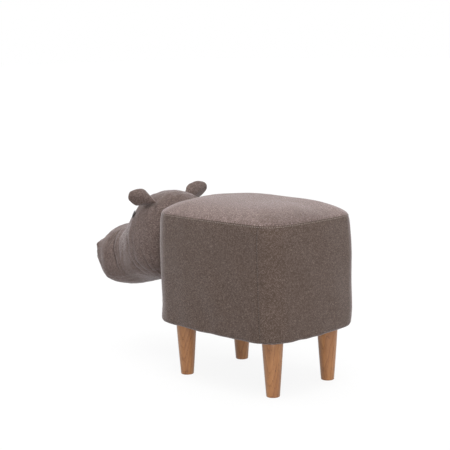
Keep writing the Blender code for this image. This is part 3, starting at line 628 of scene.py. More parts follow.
def seat_skin(run, share):
    """Points of the seat's skin; share is 1 at the seam and 0 in the middle."""
    run, share = np.broadcast_arrays(np.asarray(run, float), np.asarray(share, float))
    spots, facing = PLAN.at(run)
    rim = spots - facing * (WALL_DRAFT + corner_tuck(run, TOP_SEAM))[..., None]
    skin = np.empty(run.shape + (3,))
    skin[..., 0] = rim[..., 0] * share
    skin[..., 1] = MIDDLE_Y + (rim[..., 1] - MIDDLE_Y) * share
    skin[..., 2] = TOP_SEAM + crown_height(run, share)
    reach = np.linalg.norm(rim - np.array([0, MIDDLE_Y]), axis=-1)
    inwards = (1 - share) * reach
    groove = settings().groove
    pull = 0.9 * groove * bell(inwards, SEAT_LINE) + 0.3 * groove * bell(inwards, SEAT_PULL)
    skin[..., :2] -= facing * (pull * 0.8)[..., None]
    skin[..., 2] -= pull * 0.5 * (1 - bell(inwards, 0.5 * MM))
    puckers = SEAT_PUCKER * waves(run, inwards * 0.12, 0.014, 21) * bell(inwards - 0.006, 0.009)
    slack = SEAT_SLACK * waves(skin[..., 0], skin[..., 1], 0.11, 22) * (1 - bell(inwards, 0.03))
    skin[..., 2] += puckers + slack - CROWN_TILT * (skin[..., 1] - MIDDLE_Y) * (1 - share**3)
    return skin


def spread(start, end, fine, coarse, reach):
    """Places from start to end, finely spaced at both ends and coarsely between."""
    span = end - start
    places = [0.0]
    step = fine
    while places[-1] + step < min(reach, span / 2):
        places.append(places[-1] + step)
        step = min(step * 1.35, coarse)
    edge = places[-1]
    middle = max(2, round((span - 2 * edge) / coarse))
    inner = np.linspace(edge, span - edge, middle + 1)
    whole = np.concatenate([places, inner[1:-1], span - np.array(places[::-1])])
    return start + whole


def smooth(mesh, angle=55):
    """Smooth-shades a mesh and keeps its hard edges."""
    mesh.shade_smooth()
    mesh.set_sharp_from_angle(angle=math.radians(angle))


def add_object(name, data):
    """An object in the scene with this data."""
    obj = bpy.data.objects.new(name, data)
    bpy.context.scene.collection.objects.link(obj)
    return obj


def bmesh_object(name, bm):
    """An object in the scene with this mesh in the making, which is freed."""
    mesh = bpy.data.meshes.new(name)
    bm.to_mesh(mesh)
    bm.free()
    return add_object(name, mesh)


def mesh_object(name, points, faces, corner_uvs=None, angle=55):
    """An object with this mesh and, where given, a cloth map in metres for each face corner."""
    mesh = bpy.data.meshes.new(name)
    mesh.from_pydata(np.asarray(points).tolist(), [], faces)
    if corner_uvs is not None:
        layer = mesh.uv_layers.new(name="cloth")
        layer.data.foreach_set("uv", np.asarray(corner_uvs, np.float32).ravel())
    smooth(mesh, angle)
    return add_object(name, mesh)


def closed_pad(name, outer, inner, uv):
    """A pad between two like grids of points, closed round its border."""
    rows, columns = outer.shape[:2]
    count = rows * columns
    points = np.vstack([outer.reshape(-1, 3), inner.reshape(-1, 3)])
    index = np.arange(count).reshape(rows, columns)
    a, b, c, d = index[:-1, :-1], index[:-1, 1:], index[1:, 1:], index[1:, :-1]
    front = np.stack([a, b, c, d], -1).reshape(-1, 4)
    back = np.stack([d, c, b, a], -1).reshape(-1, 4) + count
    border = np.concatenate([index[0], index[1:, -1], index[-1, -2::-1], index[-2:0:-1, 0]])
    following = np.roll(border, -1)
    edge = np.stack([following, border, border + count, following + count], -1)
    faces = np.vstack([front, back, edge])
    flat = np.tile(uv.reshape(-1, 2), (2, 1))
    return mesh_object(name, points, faces.tolist(), flat[faces.ravel()])


def closed_rings(name, rings, first_pole=None, last_pole=None, uv=None, angle=55):
    """A closed form of rings with a pole at each end; the map has one column more than the rings."""
    rings = np.asarray(rings)
    rows, columns = rings.shape[:2]
    points = rings.reshape(-1, 3)
    index = np.arange(rows * columns).reshape(rows, columns)
    after = np.roll(index, -1, axis=1)
    faces = np.stack([index[:-1], after[:-1], after[1:], index[1:]], -1).reshape(-1, 4).tolist()
    corners = []
    if uv is not None:
        here, there = uv[:, :-1], uv[:, 1:]
        corners.append(np.stack([here[:-1], there[:-1], there[1:], here[1:]], 2).reshape(-1, 2))
    for row, pole in ((0, first_pole), (rows - 1, last_pole)):
        if pole is None:
            continue
        tip = len(points)
        points = np.vstack([points, [pole]])
        ring, next_ring = index[row], after[row]
        order = (next_ring, ring) if row == 0 else (ring, next_ring)
        faces += np.stack([order[0], order[1], np.full(columns, tip)], -1).tolist()
        if uv is not None:
            middle = (uv[row, :-1] + uv[row, 1:]) / 2 if row else uv[row, :-1]
            first, second = (there[row], here[row]) if row == 0 else (here[row], there[row])
            corners.append(np.stack([first, second, middle], 1).reshape(-1, 2))
    flat = np.vstack(corners) if uv is not None else None
    return mesh_object(name, points, faces, flat, angle)


def write_shade(obj, shade, first):
    """Stores the painted shade of a piece, from the point with this number on."""
    values = np.zeros(len(obj.data.vertices), np.float32)
    values[first : first + shade.size] = shade.ravel()
    obj.data.attributes.new("painted_shade", "FLOAT", "POINT").data.foreach_set("value", values)


def dress(obj, material, stands_for=()):
    """Gives a finished piece its material, hangs it on the body and hides the frame's pieces that it stands
    for.
    """
    obj.data.materials.clear()
    obj.data.materials.append(finish(material))
    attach(obj, BODY)
    if stands_for:
        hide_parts(*stands_for)
    return obj


def feed(tree, socket, value):
    """Links or sets a socket."""
    if isinstance(value, bpy.types.NodeSocket):
        tree.links.new(value, socket)
    elif value is not None:
        socket.default_value = value


def math_of(tree, operation, first, second=None, third=None):
    """A Math node's result."""
    node = tree.nodes.new("ShaderNodeMath")
    node.operation = operation
    for socket, value in zip(node.inputs, (first, second, third)):
        feed(tree, socket, value)
    return node.outputs[0]


def times(tree, first, second):
    """One value times another."""
    return math_of(tree, "MULTIPLY", first, second)


def plus(tree, first, second):
    """One value and another."""
    return math_of(tree, "ADD", first, second)


def minus(tree, first, second):
    """One value less another."""
    return math_of(tree, "SUBTRACT", first, second)


def blend_of(tree, factor, first, second, mode="MIX"):
    """A colour Mix node's result."""
    node = tree.nodes.new("ShaderNodeMix")
    node.data_type = "RGBA"
    node.blend_type = mode
    feed(tree, node.inputs["Factor"], factor)
    feed(tree, node.inputs["A"], first)
    feed(tree, node.inputs["B"], second)
    return node.outputs["Result"]


def range_of(tree, value, low, high, to_low=0.0, to_high=1.0):
    """A Map Range node's result."""
    node = tree.nodes.new("ShaderNodeMapRange")
    labels = ("Value", "From Min", "From Max", "To Min", "To Max")
    for label, put in zip(labels, (value, low, high, to_low, to_high)):
        feed(tree, node.inputs[label], put)
    return node.outputs["Result"]


def stretched(tree, vector, scale):
    """A vector scaled by unlike amounts along its axes."""
    node = tree.nodes.new("ShaderNodeVectorMath")
    node.operation = "MULTIPLY"
    feed(tree, node.inputs[0], vector)
    node.inputs[1].default_value = scale
    return node.outputs[0]


def noise_of(tree, vector, scale, detail=2.0, roughness=0.5):
    """A Noise Texture's value."""
    node = tree.nodes.new("ShaderNodeTexNoise")
    feed(tree, node.inputs["Vector"], vector)
    feed(tree, node.inputs["Scale"], scale)
    node.inputs["Detail"].default_value = detail
    node.inputs["Roughness"].default_value = roughness
    return node.outputs["Fac"]


def new_group(name, inputs, outputs):
    """An empty shader group with these sockets, the values given to it and the sockets for its results."""
    group = bpy.data.node_groups.new(name, "ShaderNodeTree")
    kinds = {"value": "NodeSocketFloat", "colour": "NodeSocketColor", "vector": "NodeSocketVector"}
    for label, kind, default in inputs:
        socket = group.interface.new_socket(label, in_out="INPUT", socket_type=kinds[kind])
        if default is not None:
            socket.default_value = default
    for label, kind in outputs:
        group.interface.new_socket(label, in_out="OUTPUT", socket_type=kinds[kind])
    return group, group.nodes.new("NodeGroupInput").outputs, group.nodes.new("NodeGroupOutput").inputs


# Fineness of the noises in the cloth, per metre
WANDER_GRAIN = 130.0
YARN_GRAIN = 700.0
FUZZ_GRAIN = 2600.0
CLOUD_GRAIN = 22.0
# How far the noises of the wood are drawn out along the grain
BEND_STRETCH = (1.0, 1.0, 0.22)
STREAK_STRETCH = (1.0, 1.0, 0.03)
BROAD_STRETCH = (1.0, 1.0, 0.12)
FLECK_STRETCH = (1.0, 1.0, 0.16)
PORE_TINT = (0.32, 0.27, 0.25, 1.0)


def weave_group():
    """Plain weave of heathered yarns over a map in metres; every crossing has a shade of its own."""
    if "woven_cloth" in bpy.data.node_groups:
        return bpy.data.node_groups["woven_cloth"]
    group, given, out = new_group(
        "woven_cloth",
        (
            ("Map", "vector", None),
            ("Pitch", "value", 0.0013),
            ("Ground", "colour", None),
            ("Dark", "colour", None),
            ("Light", "colour", None),
            ("Heather", "value", 0.5),
            ("Streaks", "value", 0.3),
            ("Check", "value", 0.25),
        ),
        (("Colour", "colour"), ("Height", "value"), ("Roughness", "value")),
    )
    wander = times(group, minus(group, noise_of(group, given["Map"], WANDER_GRAIN), 0.5), 0.7)
    separate = group.nodes.new("ShaderNodeSeparateXYZ")
    feed(group, separate.inputs[0], given["Map"])
    join = group.nodes.new("ShaderNodeCombineXYZ")
    places, ripples = [], []
    for axis in (0, 1):
        place = plus(group, math_of(group, "DIVIDE", separate.outputs[axis], given["Pitch"]), wander)
        places.append(place)
        feed(group, join.inputs[axis], math_of(group, "FLOOR", place))
        ripples.append(math_of(group, "SINE", times(group, place, math.pi)))
    over = range_of(group, times(group, ripples[0], ripples[1]), -0.12, 0.12)
    under = minus(group, 1.0, over)
    backs = [math_of(group, "POWER", math_of(group, "ABSOLUTE", wave), 0.7) for wave in ripples]
    warp = times(group, backs[0], math_of(group, "MULTIPLY_ADD", backs[1], 0.45, 0.55))
    weft = times(group, backs[1], math_of(group, "MULTIPLY_ADD", backs[0], 0.45, 0.55))
    height = plus(group, times(group, warp, over), times(group, weft, under))
    crossing = group.nodes.new("ShaderNodeTexWhiteNoise")
    crossing.noise_dimensions = "2D"
    feed(group, crossing.inputs["Vector"], join.outputs[0])
    warp_yarn = noise_of(group, stretched(group, given["Map"], (1.0, 0.16, 1.0)), YARN_GRAIN, 1.0)
    weft_yarn = noise_of(group, stretched(group, given["Map"], (0.16, 1.0, 1.0)), YARN_GRAIN, 1.0)
    yarn = plus(group, times(group, warp_yarn, over), times(group, weft_yarn, under))
    fuzz = noise_of(group, given["Map"], FUZZ_GRAIN, 2.0, 0.7)
    cloud = noise_of(group, given["Map"], CLOUD_GRAIN)
    slant = math_of(group, "SINE", times(group, plus(group, places[0], places[1]), 2.1))
    shade = times(group, minus(group, crossing.outputs["Value"], 0.5), given["Heather"])
    shade = plus(group, shade, times(group, minus(group, over, 0.5), given["Check"]))
    shade = plus(group, shade, times(group, slant, 0.07))
    for part, weight in ((yarn, given["Streaks"]), (fuzz, 0.35), (cloud, 0.05)):
        shade = plus(group, shade, times(group, minus(group, part, 0.5), weight))
    darker = range_of(group, shade, 0.0, -0.75)
    colour = blend_of(group, darker, given["Ground"], given["Dark"])
    lighter = range_of(group, shade, 0.0, 0.75)
    colour = blend_of(group, lighter, colour, given["Light"])
    knots = range_of(group, crossing.outputs["Value"], 0.975, 0.98)
    colour = blend_of(group, times(group, knots, 0.55), colour, given["Light"])
    # Painted shade: the weave is darker where its height is low, in the gaps between the yarns
    gaps = range_of(group, height, 0.5, 0.05)
    colour = blend_of(group, times(group, gaps, 0.75), colour, given["Dark"])
    feed(group, out["Colour"], colour)
    lumps = times(group, yarn, 0.5)
    height = plus(group, height, plus(group, lumps, times(group, fuzz, 0.35)))
    feed(group, out["Height"], height)
    feed(group, out["Roughness"], range_of(group, height, 0.2, 1.4, 1.0, 0.85))
    return group


def grain_group():
    """Wood with growth rings, fine streaks and short dark pores, its grain along Z."""
    if "wood_grain" in bpy.data.node_groups:
        return bpy.data.node_groups["wood_grain"]
    group, given, out = new_group(
        "wood_grain",
        (
            ("Vector", "vector", None),
            ("Light", "colour", None),
            ("Dark", "colour", None),
            ("Rings", "value", 230.0),
            ("Pores", "value", 0.6),
        ),
        (("Colour", "colour"), ("Height", "value"), ("Roughness", "value")),
    )
    place = given["Vector"]
    bend = noise_of(group, stretched(group, place, BEND_STRETCH), 26.0)
    separate = group.nodes.new("ShaderNodeSeparateXYZ")
    feed(group, separate.inputs[0], place)
    across = math_of(group, "MULTIPLY_ADD", separate.outputs[1], 0.42, separate.outputs[0])
    across = math_of(group, "MULTIPLY_ADD", separate.outputs[2], 0.05, across)
    across = math_of(group, "MULTIPLY_ADD", bend, 0.028, across)
    ring = math_of(group, "FRACT", times(group, across, given["Rings"]))
    late = math_of(group, "POWER", ring, 2.6)
    streaks = noise_of(group, stretched(group, place, STREAK_STRETCH), 1100.0, 3.0, 0.65)
    broad = noise_of(group, stretched(group, place, BROAD_STRETCH), 70.0)
    flecks = noise_of(group, stretched(group, place, FLECK_STRETCH), 1000.0, 1.0)
    mix = times(group, late, 0.34)
    mix = plus(group, mix, range_of(group, streaks, 0.38, 0.70, 0.0, 0.42))
    mix = plus(group, mix, range_of(group, broad, 0.40, 0.66, 0.0, 0.40))
    colour = blend_of(group, mix, given["Light"], given["Dark"])
    pores = times(group, range_of(group, flecks, 0.62, 0.68), range_of(group, ring, 0.35, 0.75))
    pores = times(group, pores, given["Pores"])
    darker = blend_of(group, 1.0, given["Dark"], PORE_TINT, "MULTIPLY")
    colour = blend_of(group, pores, colour, darker)
    feed(group, out["Colour"], colour)
    feed(group, out["Height"], minus(group, times(group, streaks, 0.4), pores))
    feed(group, out["Roughness"], range_of(group, streaks, 0.3, 0.7, 0.34, 0.48))
    return group


def speckle_group():
    """Mottled colour with fine grain, for plain materials."""
    if "speckle" in bpy.data.node_groups:
        return bpy.data.node_groups["speckle"]
    group, given, out = new_group(
        "speckle",
        (
            ("Vector", "vector", None),
            ("Light", "colour", None),
            ("Dark", "colour", None),
            ("Fine", "value", 900.0),
            ("Broad", "value", 60.0),
        ),
        (("Colour", "colour"), ("Height", "value")),
    )
    fine = noise_of(group, given["Vector"], given["Fine"], 3.0, 0.6)
    broad = noise_of(group, given["Vector"], given["Broad"], 3.0, 0.6)
    both = times(group, plus(group, fine, broad), 0.5)
    colour = blend_of(group, range_of(group, both, 0.35, 0.65), given["Light"], given["Dark"])
    feed(group, out["Colour"], colour)
    feed(group, out["Height"], fine)
    return group


def new_material(name):
    """A material, its node tree and its Principled shader."""
    material = bpy.data.materials.new(name)
    material.use_nodes = True
    return material, material.node_tree, material.node_tree.nodes["Principled BSDF"]


def place_group(tree, group, **values):
    """A group node in a material with these values."""
    node = tree.nodes.new("ShaderNodeGroup")
    node.node_tree = group
    for label, value in values.items():
        feed(tree, node.inputs[label], value)
    return node


def add_bump(tree, shader, height, strength, distance):
    """Feeds a height to the shader's normal."""
    bump = tree.nodes.new("ShaderNodeBump")
    bump.inputs["Strength"].default_value = strength
    bump.inputs["Distance"].default_value = distance
    feed(tree, bump.inputs["Height"], height)
    feed(tree, shader.inputs["Normal"], bump.outputs["Normal"])


def object_place(tree):
    """The place on the piece, in metres."""
    return tree.nodes.new("ShaderNodeTexCoord").outputs["Object"]


def solid(colour):
    """A colour with its alpha."""
    return (*colour, 1.0)


def toned(colour, tones, strength=1.0):
    """A colour made lighter or darker by these tones, with its alpha."""
    return solid([part * tone * strength for part, tone in zip(colour, tones)])


def cloth_material(name, tones=(1.0, 1.0, 1.0), has_painted_shade=False):
    """The cover's cloth made lighter by these tones, as painted light for lit copies; where a piece carries
    painted shade, its cloth is darker as that shade says.
    """
    material, tree, shader = new_material(name)
    chosen = settings()
    uv = tree.nodes.new("ShaderNodeUVMap")
    uv.uv_map = "cloth"
    node = place_group(
        tree,
        weave_group(),
        Map=uv.outputs["UV"],
        Pitch=chosen.thread_pitch,
        Ground=toned(chosen.cloth_colour, tones),
        Dark=toned(chosen.cloth_dark, tones),
        Light=toned(chosen.cloth_light, tones),
        Heather=0.68,
        Streaks=0.12,
        Check=0.36,
    )
    colour = node.outputs["Colour"]
    if has_painted_shade:
        # Painted shade: the cloth darkens towards a deep tone where the piece's stored shade says, in folds,
        # seams, creases, under the ears and on the seat's rolled edge
        shade = tree.nodes.new("ShaderNodeAttribute")
        shade.attribute_name = "painted_shade"
        colour = blend_of(tree, shade.outputs["Fac"], colour, toned(chosen.cloth_dark, tones, 0.4))
    feed(tree, shader.inputs["Base Color"], colour)
    feed(tree, shader.inputs["Roughness"], node.outputs["Roughness"])
    shader.inputs["Specular IOR Level"].default_value = 0.2
    shader.inputs["Sheen Weight"].default_value = 0.45
    shader.inputs["Sheen Roughness"].default_value = 0.36
    shader.inputs["Sheen Tint"].default_value = (1.0, 0.93, 0.95, 1.0)
    add_bump(tree, shader, node.outputs["Height"], 0.6, 0.00035)
    return material


def wood_material(name, light, dark, rings, pores, roughness=None, coat=0.0):
    """A wood with its grain along Z."""
    material, tree, shader = new_material(name)
    colours = {"Light": solid(light), "Dark": solid(dark)}
    node = place_group(tree, grain_group(), Vector=object_place(tree), Rings=rings, Pores=pores, **colours)
    feed(tree, shader.inputs["Base Color"], node.outputs["Colour"])
    feed(tree, shader.inputs["Roughness"], roughness or node.outputs["Roughness"])
    shader.inputs["Coat Weight"].default_value = coat
    shader.inputs["Coat Roughness"].default_value = 0.35
    add_bump(tree, shader, node.outputs["Height"], 0.35, 0.0002)
    return material


def speckled_material(name, light, dark, fine, broad, roughness, bump, metallic=0.0):
    """A plain material with a fine mottle."""
    material, tree, shader = new_material(name)
    colours = {"Light": solid(light), "Dark": solid(dark)}
    node = place_group(tree, speckle_group(), Vector=object_place(tree), Fine=fine, Broad=broad, **colours)
    feed(tree, shader.inputs["Base Color"], node.outputs["Colour"])
    shader.inputs["Roughness"].default_value = roughness
    shader.inputs["Metallic"].default_value = metallic
    add_bump(tree, shader, node.outputs["Height"], 0.4, bump)
    return material


def eye_material(name):
    """Glossy black plastic with a faint brown depth."""
    brown, black = (0.012, 0.010, 0.010), (0.004, 0.004, 0.004)
    material = speckled_material(name, brown, black, 400.0, 90.0, 0.16, 0.00001)
    shader = material.node_tree.nodes["Principled BSDF"]
    shader.inputs["Coat Weight"].default_value = 0.15
    shader.inputs["Coat Roughness"].default_value = 0.05
    return material


def leg_material(name):
    """Satin honey-brown lacquered wood."""
    chosen = settings()
    return wood_material(name, chosen.wood_light, chosen.wood_dark, 190.0, 0.9, coat=0.3)


def thread_material(name, colour=None):
    """Twisted sewing thread, of the chosen colour or of this one."""
    colour = colour or tuple(settings().thread_colour)
    dark = tuple(part * 0.6 for part in colour)
    return speckled_material(name, colour, dark, 2500.0, 200.0, 0.7, 0.0001)


# What makes each finish, and the values that it takes after the name
FINISHES = {
    "cover_cloth": (cloth_material,),
    # The seat's cloth is the cover's cloth made much lighter: a little is the seat's own lighter tone, most
    # is painted light for its top facing the lamps
    "seat_cloth": (cloth_material, (1.85, 1.93, 2.15), True),
    # The head's cloth is the cover's cloth made lighter and greyer as painted light, so the head reads
    # lighter than the body under the same lamps
    "head_cloth": (cloth_material, (1.21, 1.24, 1.35), True),
    "leg_wood": (leg_material,),
    "eye_black": (eye_material,),
    "sewing_thread": (thread_material,),
    "seam_thread": (thread_material, (0.022, 0.017, 0.014)),
    "nostril_thread": (thread_material, (0.055, 0.042, 0.038)),
    "dust_cloth": (speckled_material, (0.03, 0.03, 0.033), (0.012, 0.012, 0.013), 1400.0, 120.0, 0.9, 3e-4),
    "plywood": (wood_material, (0.60, 0.43, 0.25), (0.42, 0.27, 0.14), 90.0, 0.2, 0.7),
    "pine": (wood_material, (0.68, 0.50, 0.29), (0.50, 0.31, 0.15), 160.0, 0.1, 0.65),
    "hardboard": (speckled_material, (0.21, 0.11, 0.055), (0.13, 0.07, 0.03), 1200.0, 80.0, 0.6, 1e-4),
    "steel": (speckled_material, (0.60, 0.60, 0.61), (0.45, 0.45, 0.46), 1600.0, 150.0, 0.35, 5e-5, 1.0),
    "washer_plastic": (speckled_material, (0.035, 0.035, 0.036), (0.02, 0.02, 0.02), 900.0, 90.0, 0.5, 5e-5),
}


def finish(name):
    """The named material, made once."""
    label = name + "_finish"
    maker, *values = FINISHES[name]
    return bpy.data.materials.get(label) or maker(label, *values)


def row_tree():
    """Geometry nodes that set a shape along a path, standing on the path's up direction."""
    if "row_of_shapes" in bpy.data.node_groups:
        return bpy.data.node_groups["row_of_shapes"]
    tree = bpy.data.node_groups.new("row_of_shapes", "GeometryNodeTree")
    for label, kind, default in (
        ("Geometry", "Geometry", None),
        ("Pitch", "Float", 0.0046),
        ("Shape", "Object", None),
        ("Scatter", "Float", 0.0),
        ("Seed", "Int", 1),
        ("Material", "Material", None),
    ):
        socket = tree.interface.new_socket(label, in_out="INPUT", socket_type="NodeSocket" + kind)
        if default is not None:
            socket.default_value = default
    tree.interface.new_socket("Geometry", in_out="OUTPUT", socket_type="NodeSocketGeometry")
    given = tree.nodes.new("NodeGroupInput")
    out = tree.nodes.new("NodeGroupOutput")
    curve = tree.nodes.new("GeometryNodeMeshToCurve")
    points = tree.nodes.new("GeometryNodeCurveToPoints")
    points.mode = "LENGTH"
    up = tree.nodes.new("GeometryNodeInputNamedAttribute")
    up.data_type = "FLOAT_VECTOR"
    up.inputs["Name"].default_value = "up"
    lie = tree.nodes.new("FunctionNodeAlignRotationToVector")
    lie.axis = "X"
    stand = tree.nodes.new("FunctionNodeAlignRotationToVector")
    stand.axis = "Z"
    stand.pivot_axis = "X"
    chance = tree.nodes.new("FunctionNodeRandomValue")
    chance.data_type = "FLOAT"
    chance.inputs[2].default_value = -1.0
    chance.inputs[3].default_value = 1.0
    swing = tree.nodes.new("ShaderNodeMath")
    swing.operation = "MULTIPLY"
    turn = tree.nodes.new("FunctionNodeAxisAngleToRotation")
    turn.inputs["Axis"].default_value = (0, 0, 1)
    rotate = tree.nodes.new("FunctionNodeRotateRotation")
    rotate.rotation_space = "LOCAL"
    shape = tree.nodes.new("GeometryNodeObjectInfo")
    instance = tree.nodes.new("GeometryNodeInstanceOnPoints")
    real = tree.nodes.new("GeometryNodeRealizeInstances")
    paint = tree.nodes.new("GeometryNodeSetMaterial")
    links = (
        (given.outputs["Geometry"], curve.inputs["Mesh"]),
        (curve.outputs["Curve"], points.inputs["Curve"]),
        (given.outputs["Pitch"], points.inputs["Length"]),
        (points.outputs["Tangent"], lie.inputs["Vector"]),
        (lie.outputs["Rotation"], stand.inputs["Rotation"]),
        (up.outputs["Attribute"], stand.inputs["Vector"]),
        (given.outputs["Seed"], chance.inputs["Seed"]),
        (chance.outputs[1], swing.inputs[0]),
        (given.outputs["Scatter"], swing.inputs[1]),
        (swing.outputs[0], turn.inputs["Angle"]),
        (stand.outputs["Rotation"], rotate.inputs["Rotation"]),
        (turn.outputs["Rotation"], rotate.inputs["Rotate By"]),
        (rotate.outputs["Rotation"], instance.inputs["Rotation"]),
        (points.outputs["Points"], instance.inputs["Points"]),
        (given.outputs["Shape"], shape.inputs["Object"]),
        (shape.outputs["Geometry"], instance.inputs["Instance"]),
        (instance.outputs["Instances"], real.inputs["Geometry"]),
        (real.outputs["Geometry"], paint.inputs["Geometry"]),
        (given.outputs["Material"], paint.inputs["Material"]),
        (paint.outputs["Geometry"], out.inputs["Geometry"]),
    )
    for source, target in links:
        tree.links.new(source, target)
    return tree


def bent_rod(name, length, radius, rise):
    """A rod along X whose ends dip below the ground, such as a stitch."""
    sides, steps = 6, 6
    spots = []
    for step in range(steps + 1):
        share = step / steps * 2 - 1
        ring = radius * (math.sqrt(max(0.0, 1 - abs(share) ** 4)) * 0.75 + 0.25)
        lift = rise * (1 - share * share) - radius * 0.6
        for side in range(sides):
            angle = 2 * math.pi * side / sides
            spots.append((share * length / 2, ring * math.sin(angle), lift + ring * math.cos(angle)))
    rings = np.array(spots).reshape(steps + 1, sides, 3)
    return closed_rings(name, rings, rings[0].mean(0), rings[-1].mean(0), angle=80)


def staple_shape():
    """A wire staple's crown and the start of its legs."""
    bm = bmesh.new()
    wire = 0.6 * MM
    half = 5 * MM
    for low, high in (
        ((-half, -wire / 2, 0), (half, wire / 2, wire)),
        ((-half, -wire / 2, -MM), (-half + wire, wire / 2, 0)),
        ((half - wire, -wire / 2, -MM), (half, wire / 2, 0)),
    ):
        made = bmesh.ops.create_cube(bm, size=1)["verts"]
        bmesh.ops.scale(bm, verts=made, vec=[b - a for a, b in zip(low, high)])
        bmesh.ops.translate(bm, verts=made, vec=[(a + b) / 2 for a, b in zip(low, high)])
    return bmesh_object("staple_shape", bm)


def set_row(name, paths, shape, pitch, material, scatter=0.0, seed=1):
    """One mesh of shapes set along paths; a path is its points, its up directions and whether it closes."""
    points, ups, edges = [], [], []
    for spots, normals, closed in paths:
        start = len(points)
        points += [tuple(spot) for spot in spots]
        ups += [tuple(normal) for normal in normals]
        edges += [(start + i, start + i + 1) for i in range(len(spots) - 1)]
        if closed:
            edges.append((len(points) - 1, start))
    mesh = bpy.data.meshes.new(name + "_path")
    mesh.from_pydata(points, edges, [])
    attribute = mesh.attributes.new("up", "FLOAT_VECTOR", "POINT")
    attribute.data.foreach_set("vector", np.asarray(ups, np.float32).ravel())
    path = add_object(name + "_path", mesh)
    modifier = path.modifiers.new("Row", "NODES")
    modifier.node_group = row_tree()
    values = {"Pitch": pitch, "Shape": shape, "Scatter": scatter, "Seed": seed, "Material": finish(material)}
    for item in modifier.node_group.interface.items_tree:
        if item.item_type == "SOCKET" and item.in_out == "INPUT" and item.name in values:
            modifier[item.identifier] = values[item.name]
    bpy.context.view_layer.update()
    evaluated = path.evaluated_get(bpy.context.evaluated_depsgraph_get())
    made = bpy.data.meshes.new_from_object(evaluated)
    made.name = name
    smooth(made, 60)
    if "up" in made.attributes:
        made.attributes.remove(made.attributes["up"])
    path.modifiers.clear()
    bpy.data.objects.remove(path, do_unlink=True)
    obj = add_object(name, made)
    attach(obj, BODY)
    return obj


def drop(*objects):
    """Removes shapes that were only set along rows."""
    for obj in objects:
        bpy.data.objects.remove(obj, do_unlink=True)


SIDES = {
    "flank_pad_left": (0, 1, ("flank_panel_left", "flank_foam_left")),
    "rear_pad": (1, 2, ("rear_panel", "rear_foam")),
    "flank_pad_right": (2, 3, ("flank_panel_right", "flank_foam_right")),
    "front_pad": (3, 4, ("front_panel", "front_foam")),
}


def side_rows():
    """Lengths up the panels' profile, finer at the round and at the top seam."""
    flange = np.linspace(0, FLANGE_END, 10, endpoint=False)
    turn = np.linspace(FLANGE_END, ROUND_END, 9, endpoint=False)
    wall = spread(ROUND_END, WALL_END, 0.35 * MM, 2.6 * MM, 0.012)
    wall = wall[(wall > ROUND_END + 1.5 * MM) | (wall == ROUND_END)]
    return np.concatenate([flange, turn, wall])


def make_side_pad(name, first, last, nodes):
    """One side panel of the cover with its foam, drawn in at its seams and turned in under the body."""
    across = side_rows()
    _, _, heights = wall_skin(np.zeros(len(across)), across)
    ends = np.array([np.append(seams, PLAN.around + seams[0]) for seams in np.array(PLAN.seams(heights)).T])
    start, end = ends[:, first], ends[:, last]
    shares = spread(0, float(np.mean(end - start)), 0.3 * MM, 2.8 * MM, 0.012)
    shares = shares / shares[-1]
    run = start[:, None] + (end - start)[:, None] * shares[None, :]
    grid = np.broadcast_to(across[:, None], run.shape)
    outer, normal, height = wall_skin(run, grid)
    spots, facing = PLAN.at(run)
    tuck = corner_tuck(run, height)
    inset = np.where(height < SEAT_BOARD_TOP, FOAM_INNER, FABRIC)
    inset = inset + np.maximum(wall_inset(height), 0) + tuck
    flat_inset = np.maximum(inset, BOTTOM_ROUND + FLANGE_END - grid + tuck)
    inner = np.empty_like(outer)
    inner[..., :2] = spots - facing * np.where(grid < FLANGE_END, flat_inset, inset + 1.2 * MM)[..., None]
    inner[..., 2] = np.maximum(height, PANEL_BOTTOM + FABRIC)
    uv = np.stack([run, grid], -1)
    pad = closed_pad(name, outer, inner, uv)
    return dress(pad, "cover_cloth", nodes)


class FOOTSTOOL_OT_sides(bpy.types.Operator):
    """Makes the four side panels of the cover with their foam"""

    bl_idname = "footstool.sides"
    bl_label = "Side panels"

    def execute(self, context):
        for name, (first, last, nodes) in SIDES.items():
            make_side_pad(name, first, last, nodes)
        return {"FINISHED"}


class FOOTSTOOL_OT_seat(bpy.types.Operator):
    """Makes the crowned seat with its foam"""

    bl_idname = "footstool.seat"
    bl_label = "Seat"

    def execute(self, context):
        run = spread(0, PLAN.around, 2.4 * MM, 2.4 * MM, 0.005)[:-1]
        shares = 1 - spread(0, 1, 0.0022, 0.018, 0.08)
        shares = shares[shares > 0.006]
        crown = seat_skin(run[None, :], shares[:, None])
        rings = []
        under = SEAT_BOARD_TOP + GLUE_GAP
        spots, facing = PLAN.at(run)
        clear = FABRIC + 1.4 * MM + 2.4 * settings().groove
        levels = ((0.06, under), (0.5, under), (0.9, under), (1.0, under), (1.0, TOP_SEAM - 2.5 * MM))
        for drawn, height in levels:
            edge = spots - facing * (wall_inset(height) + clear)
            ring = np.empty((len(run), 3))
            ring[:, 0] = edge[:, 0] * drawn
            ring[:, 1] = MIDDLE_Y + (edge[:, 1] - MIDDLE_Y) * drawn
            ring[:, 2] = height
            rings.append(ring)
        whole = np.concatenate([np.array(rings), crown])
        uv = np.concatenate([whole, whole[:, :1]], axis=1)[..., :2]
        top = float(crown[-1, :, 2].mean())
        seat = closed_rings("seat_pad", whole, (0, MIDDLE_Y, under), (0, MIDDLE_Y, top), uv)
        write_shade(seat, seat_shade(run[None, :], shares[:, None]), len(rings) * len(run))
        dress(seat, "seat_cloth", ("seat_cover", "seat_foam"))
        return {"FINISHED"}


def smooth_rows(rows, steps):
    """Rows of shares with more rows between them, along a Catmull-Rom curve."""
    rows = np.asarray(rows)
    padded = np.vstack([2 * rows[0] - rows[1], rows, 2 * rows[-1] - rows[-2]])
    result = []
    for i in range(1, len(padded) - 2):
        a, b, c, d = padded[i - 1 : i + 3]
        for step in range(steps):
            t = step / steps
            bend = (2 * a - 5 * b + 4 * c - d) * t**2 + (3 * b - a - 3 * c + d) * t**3
            result.append((2 * b + (c - a) * t + bend) / 2)
    result.append(rows[-1])
    return np.array(result)


HEAD_ROWS = smooth_rows(HEAD_SHARES, 2)


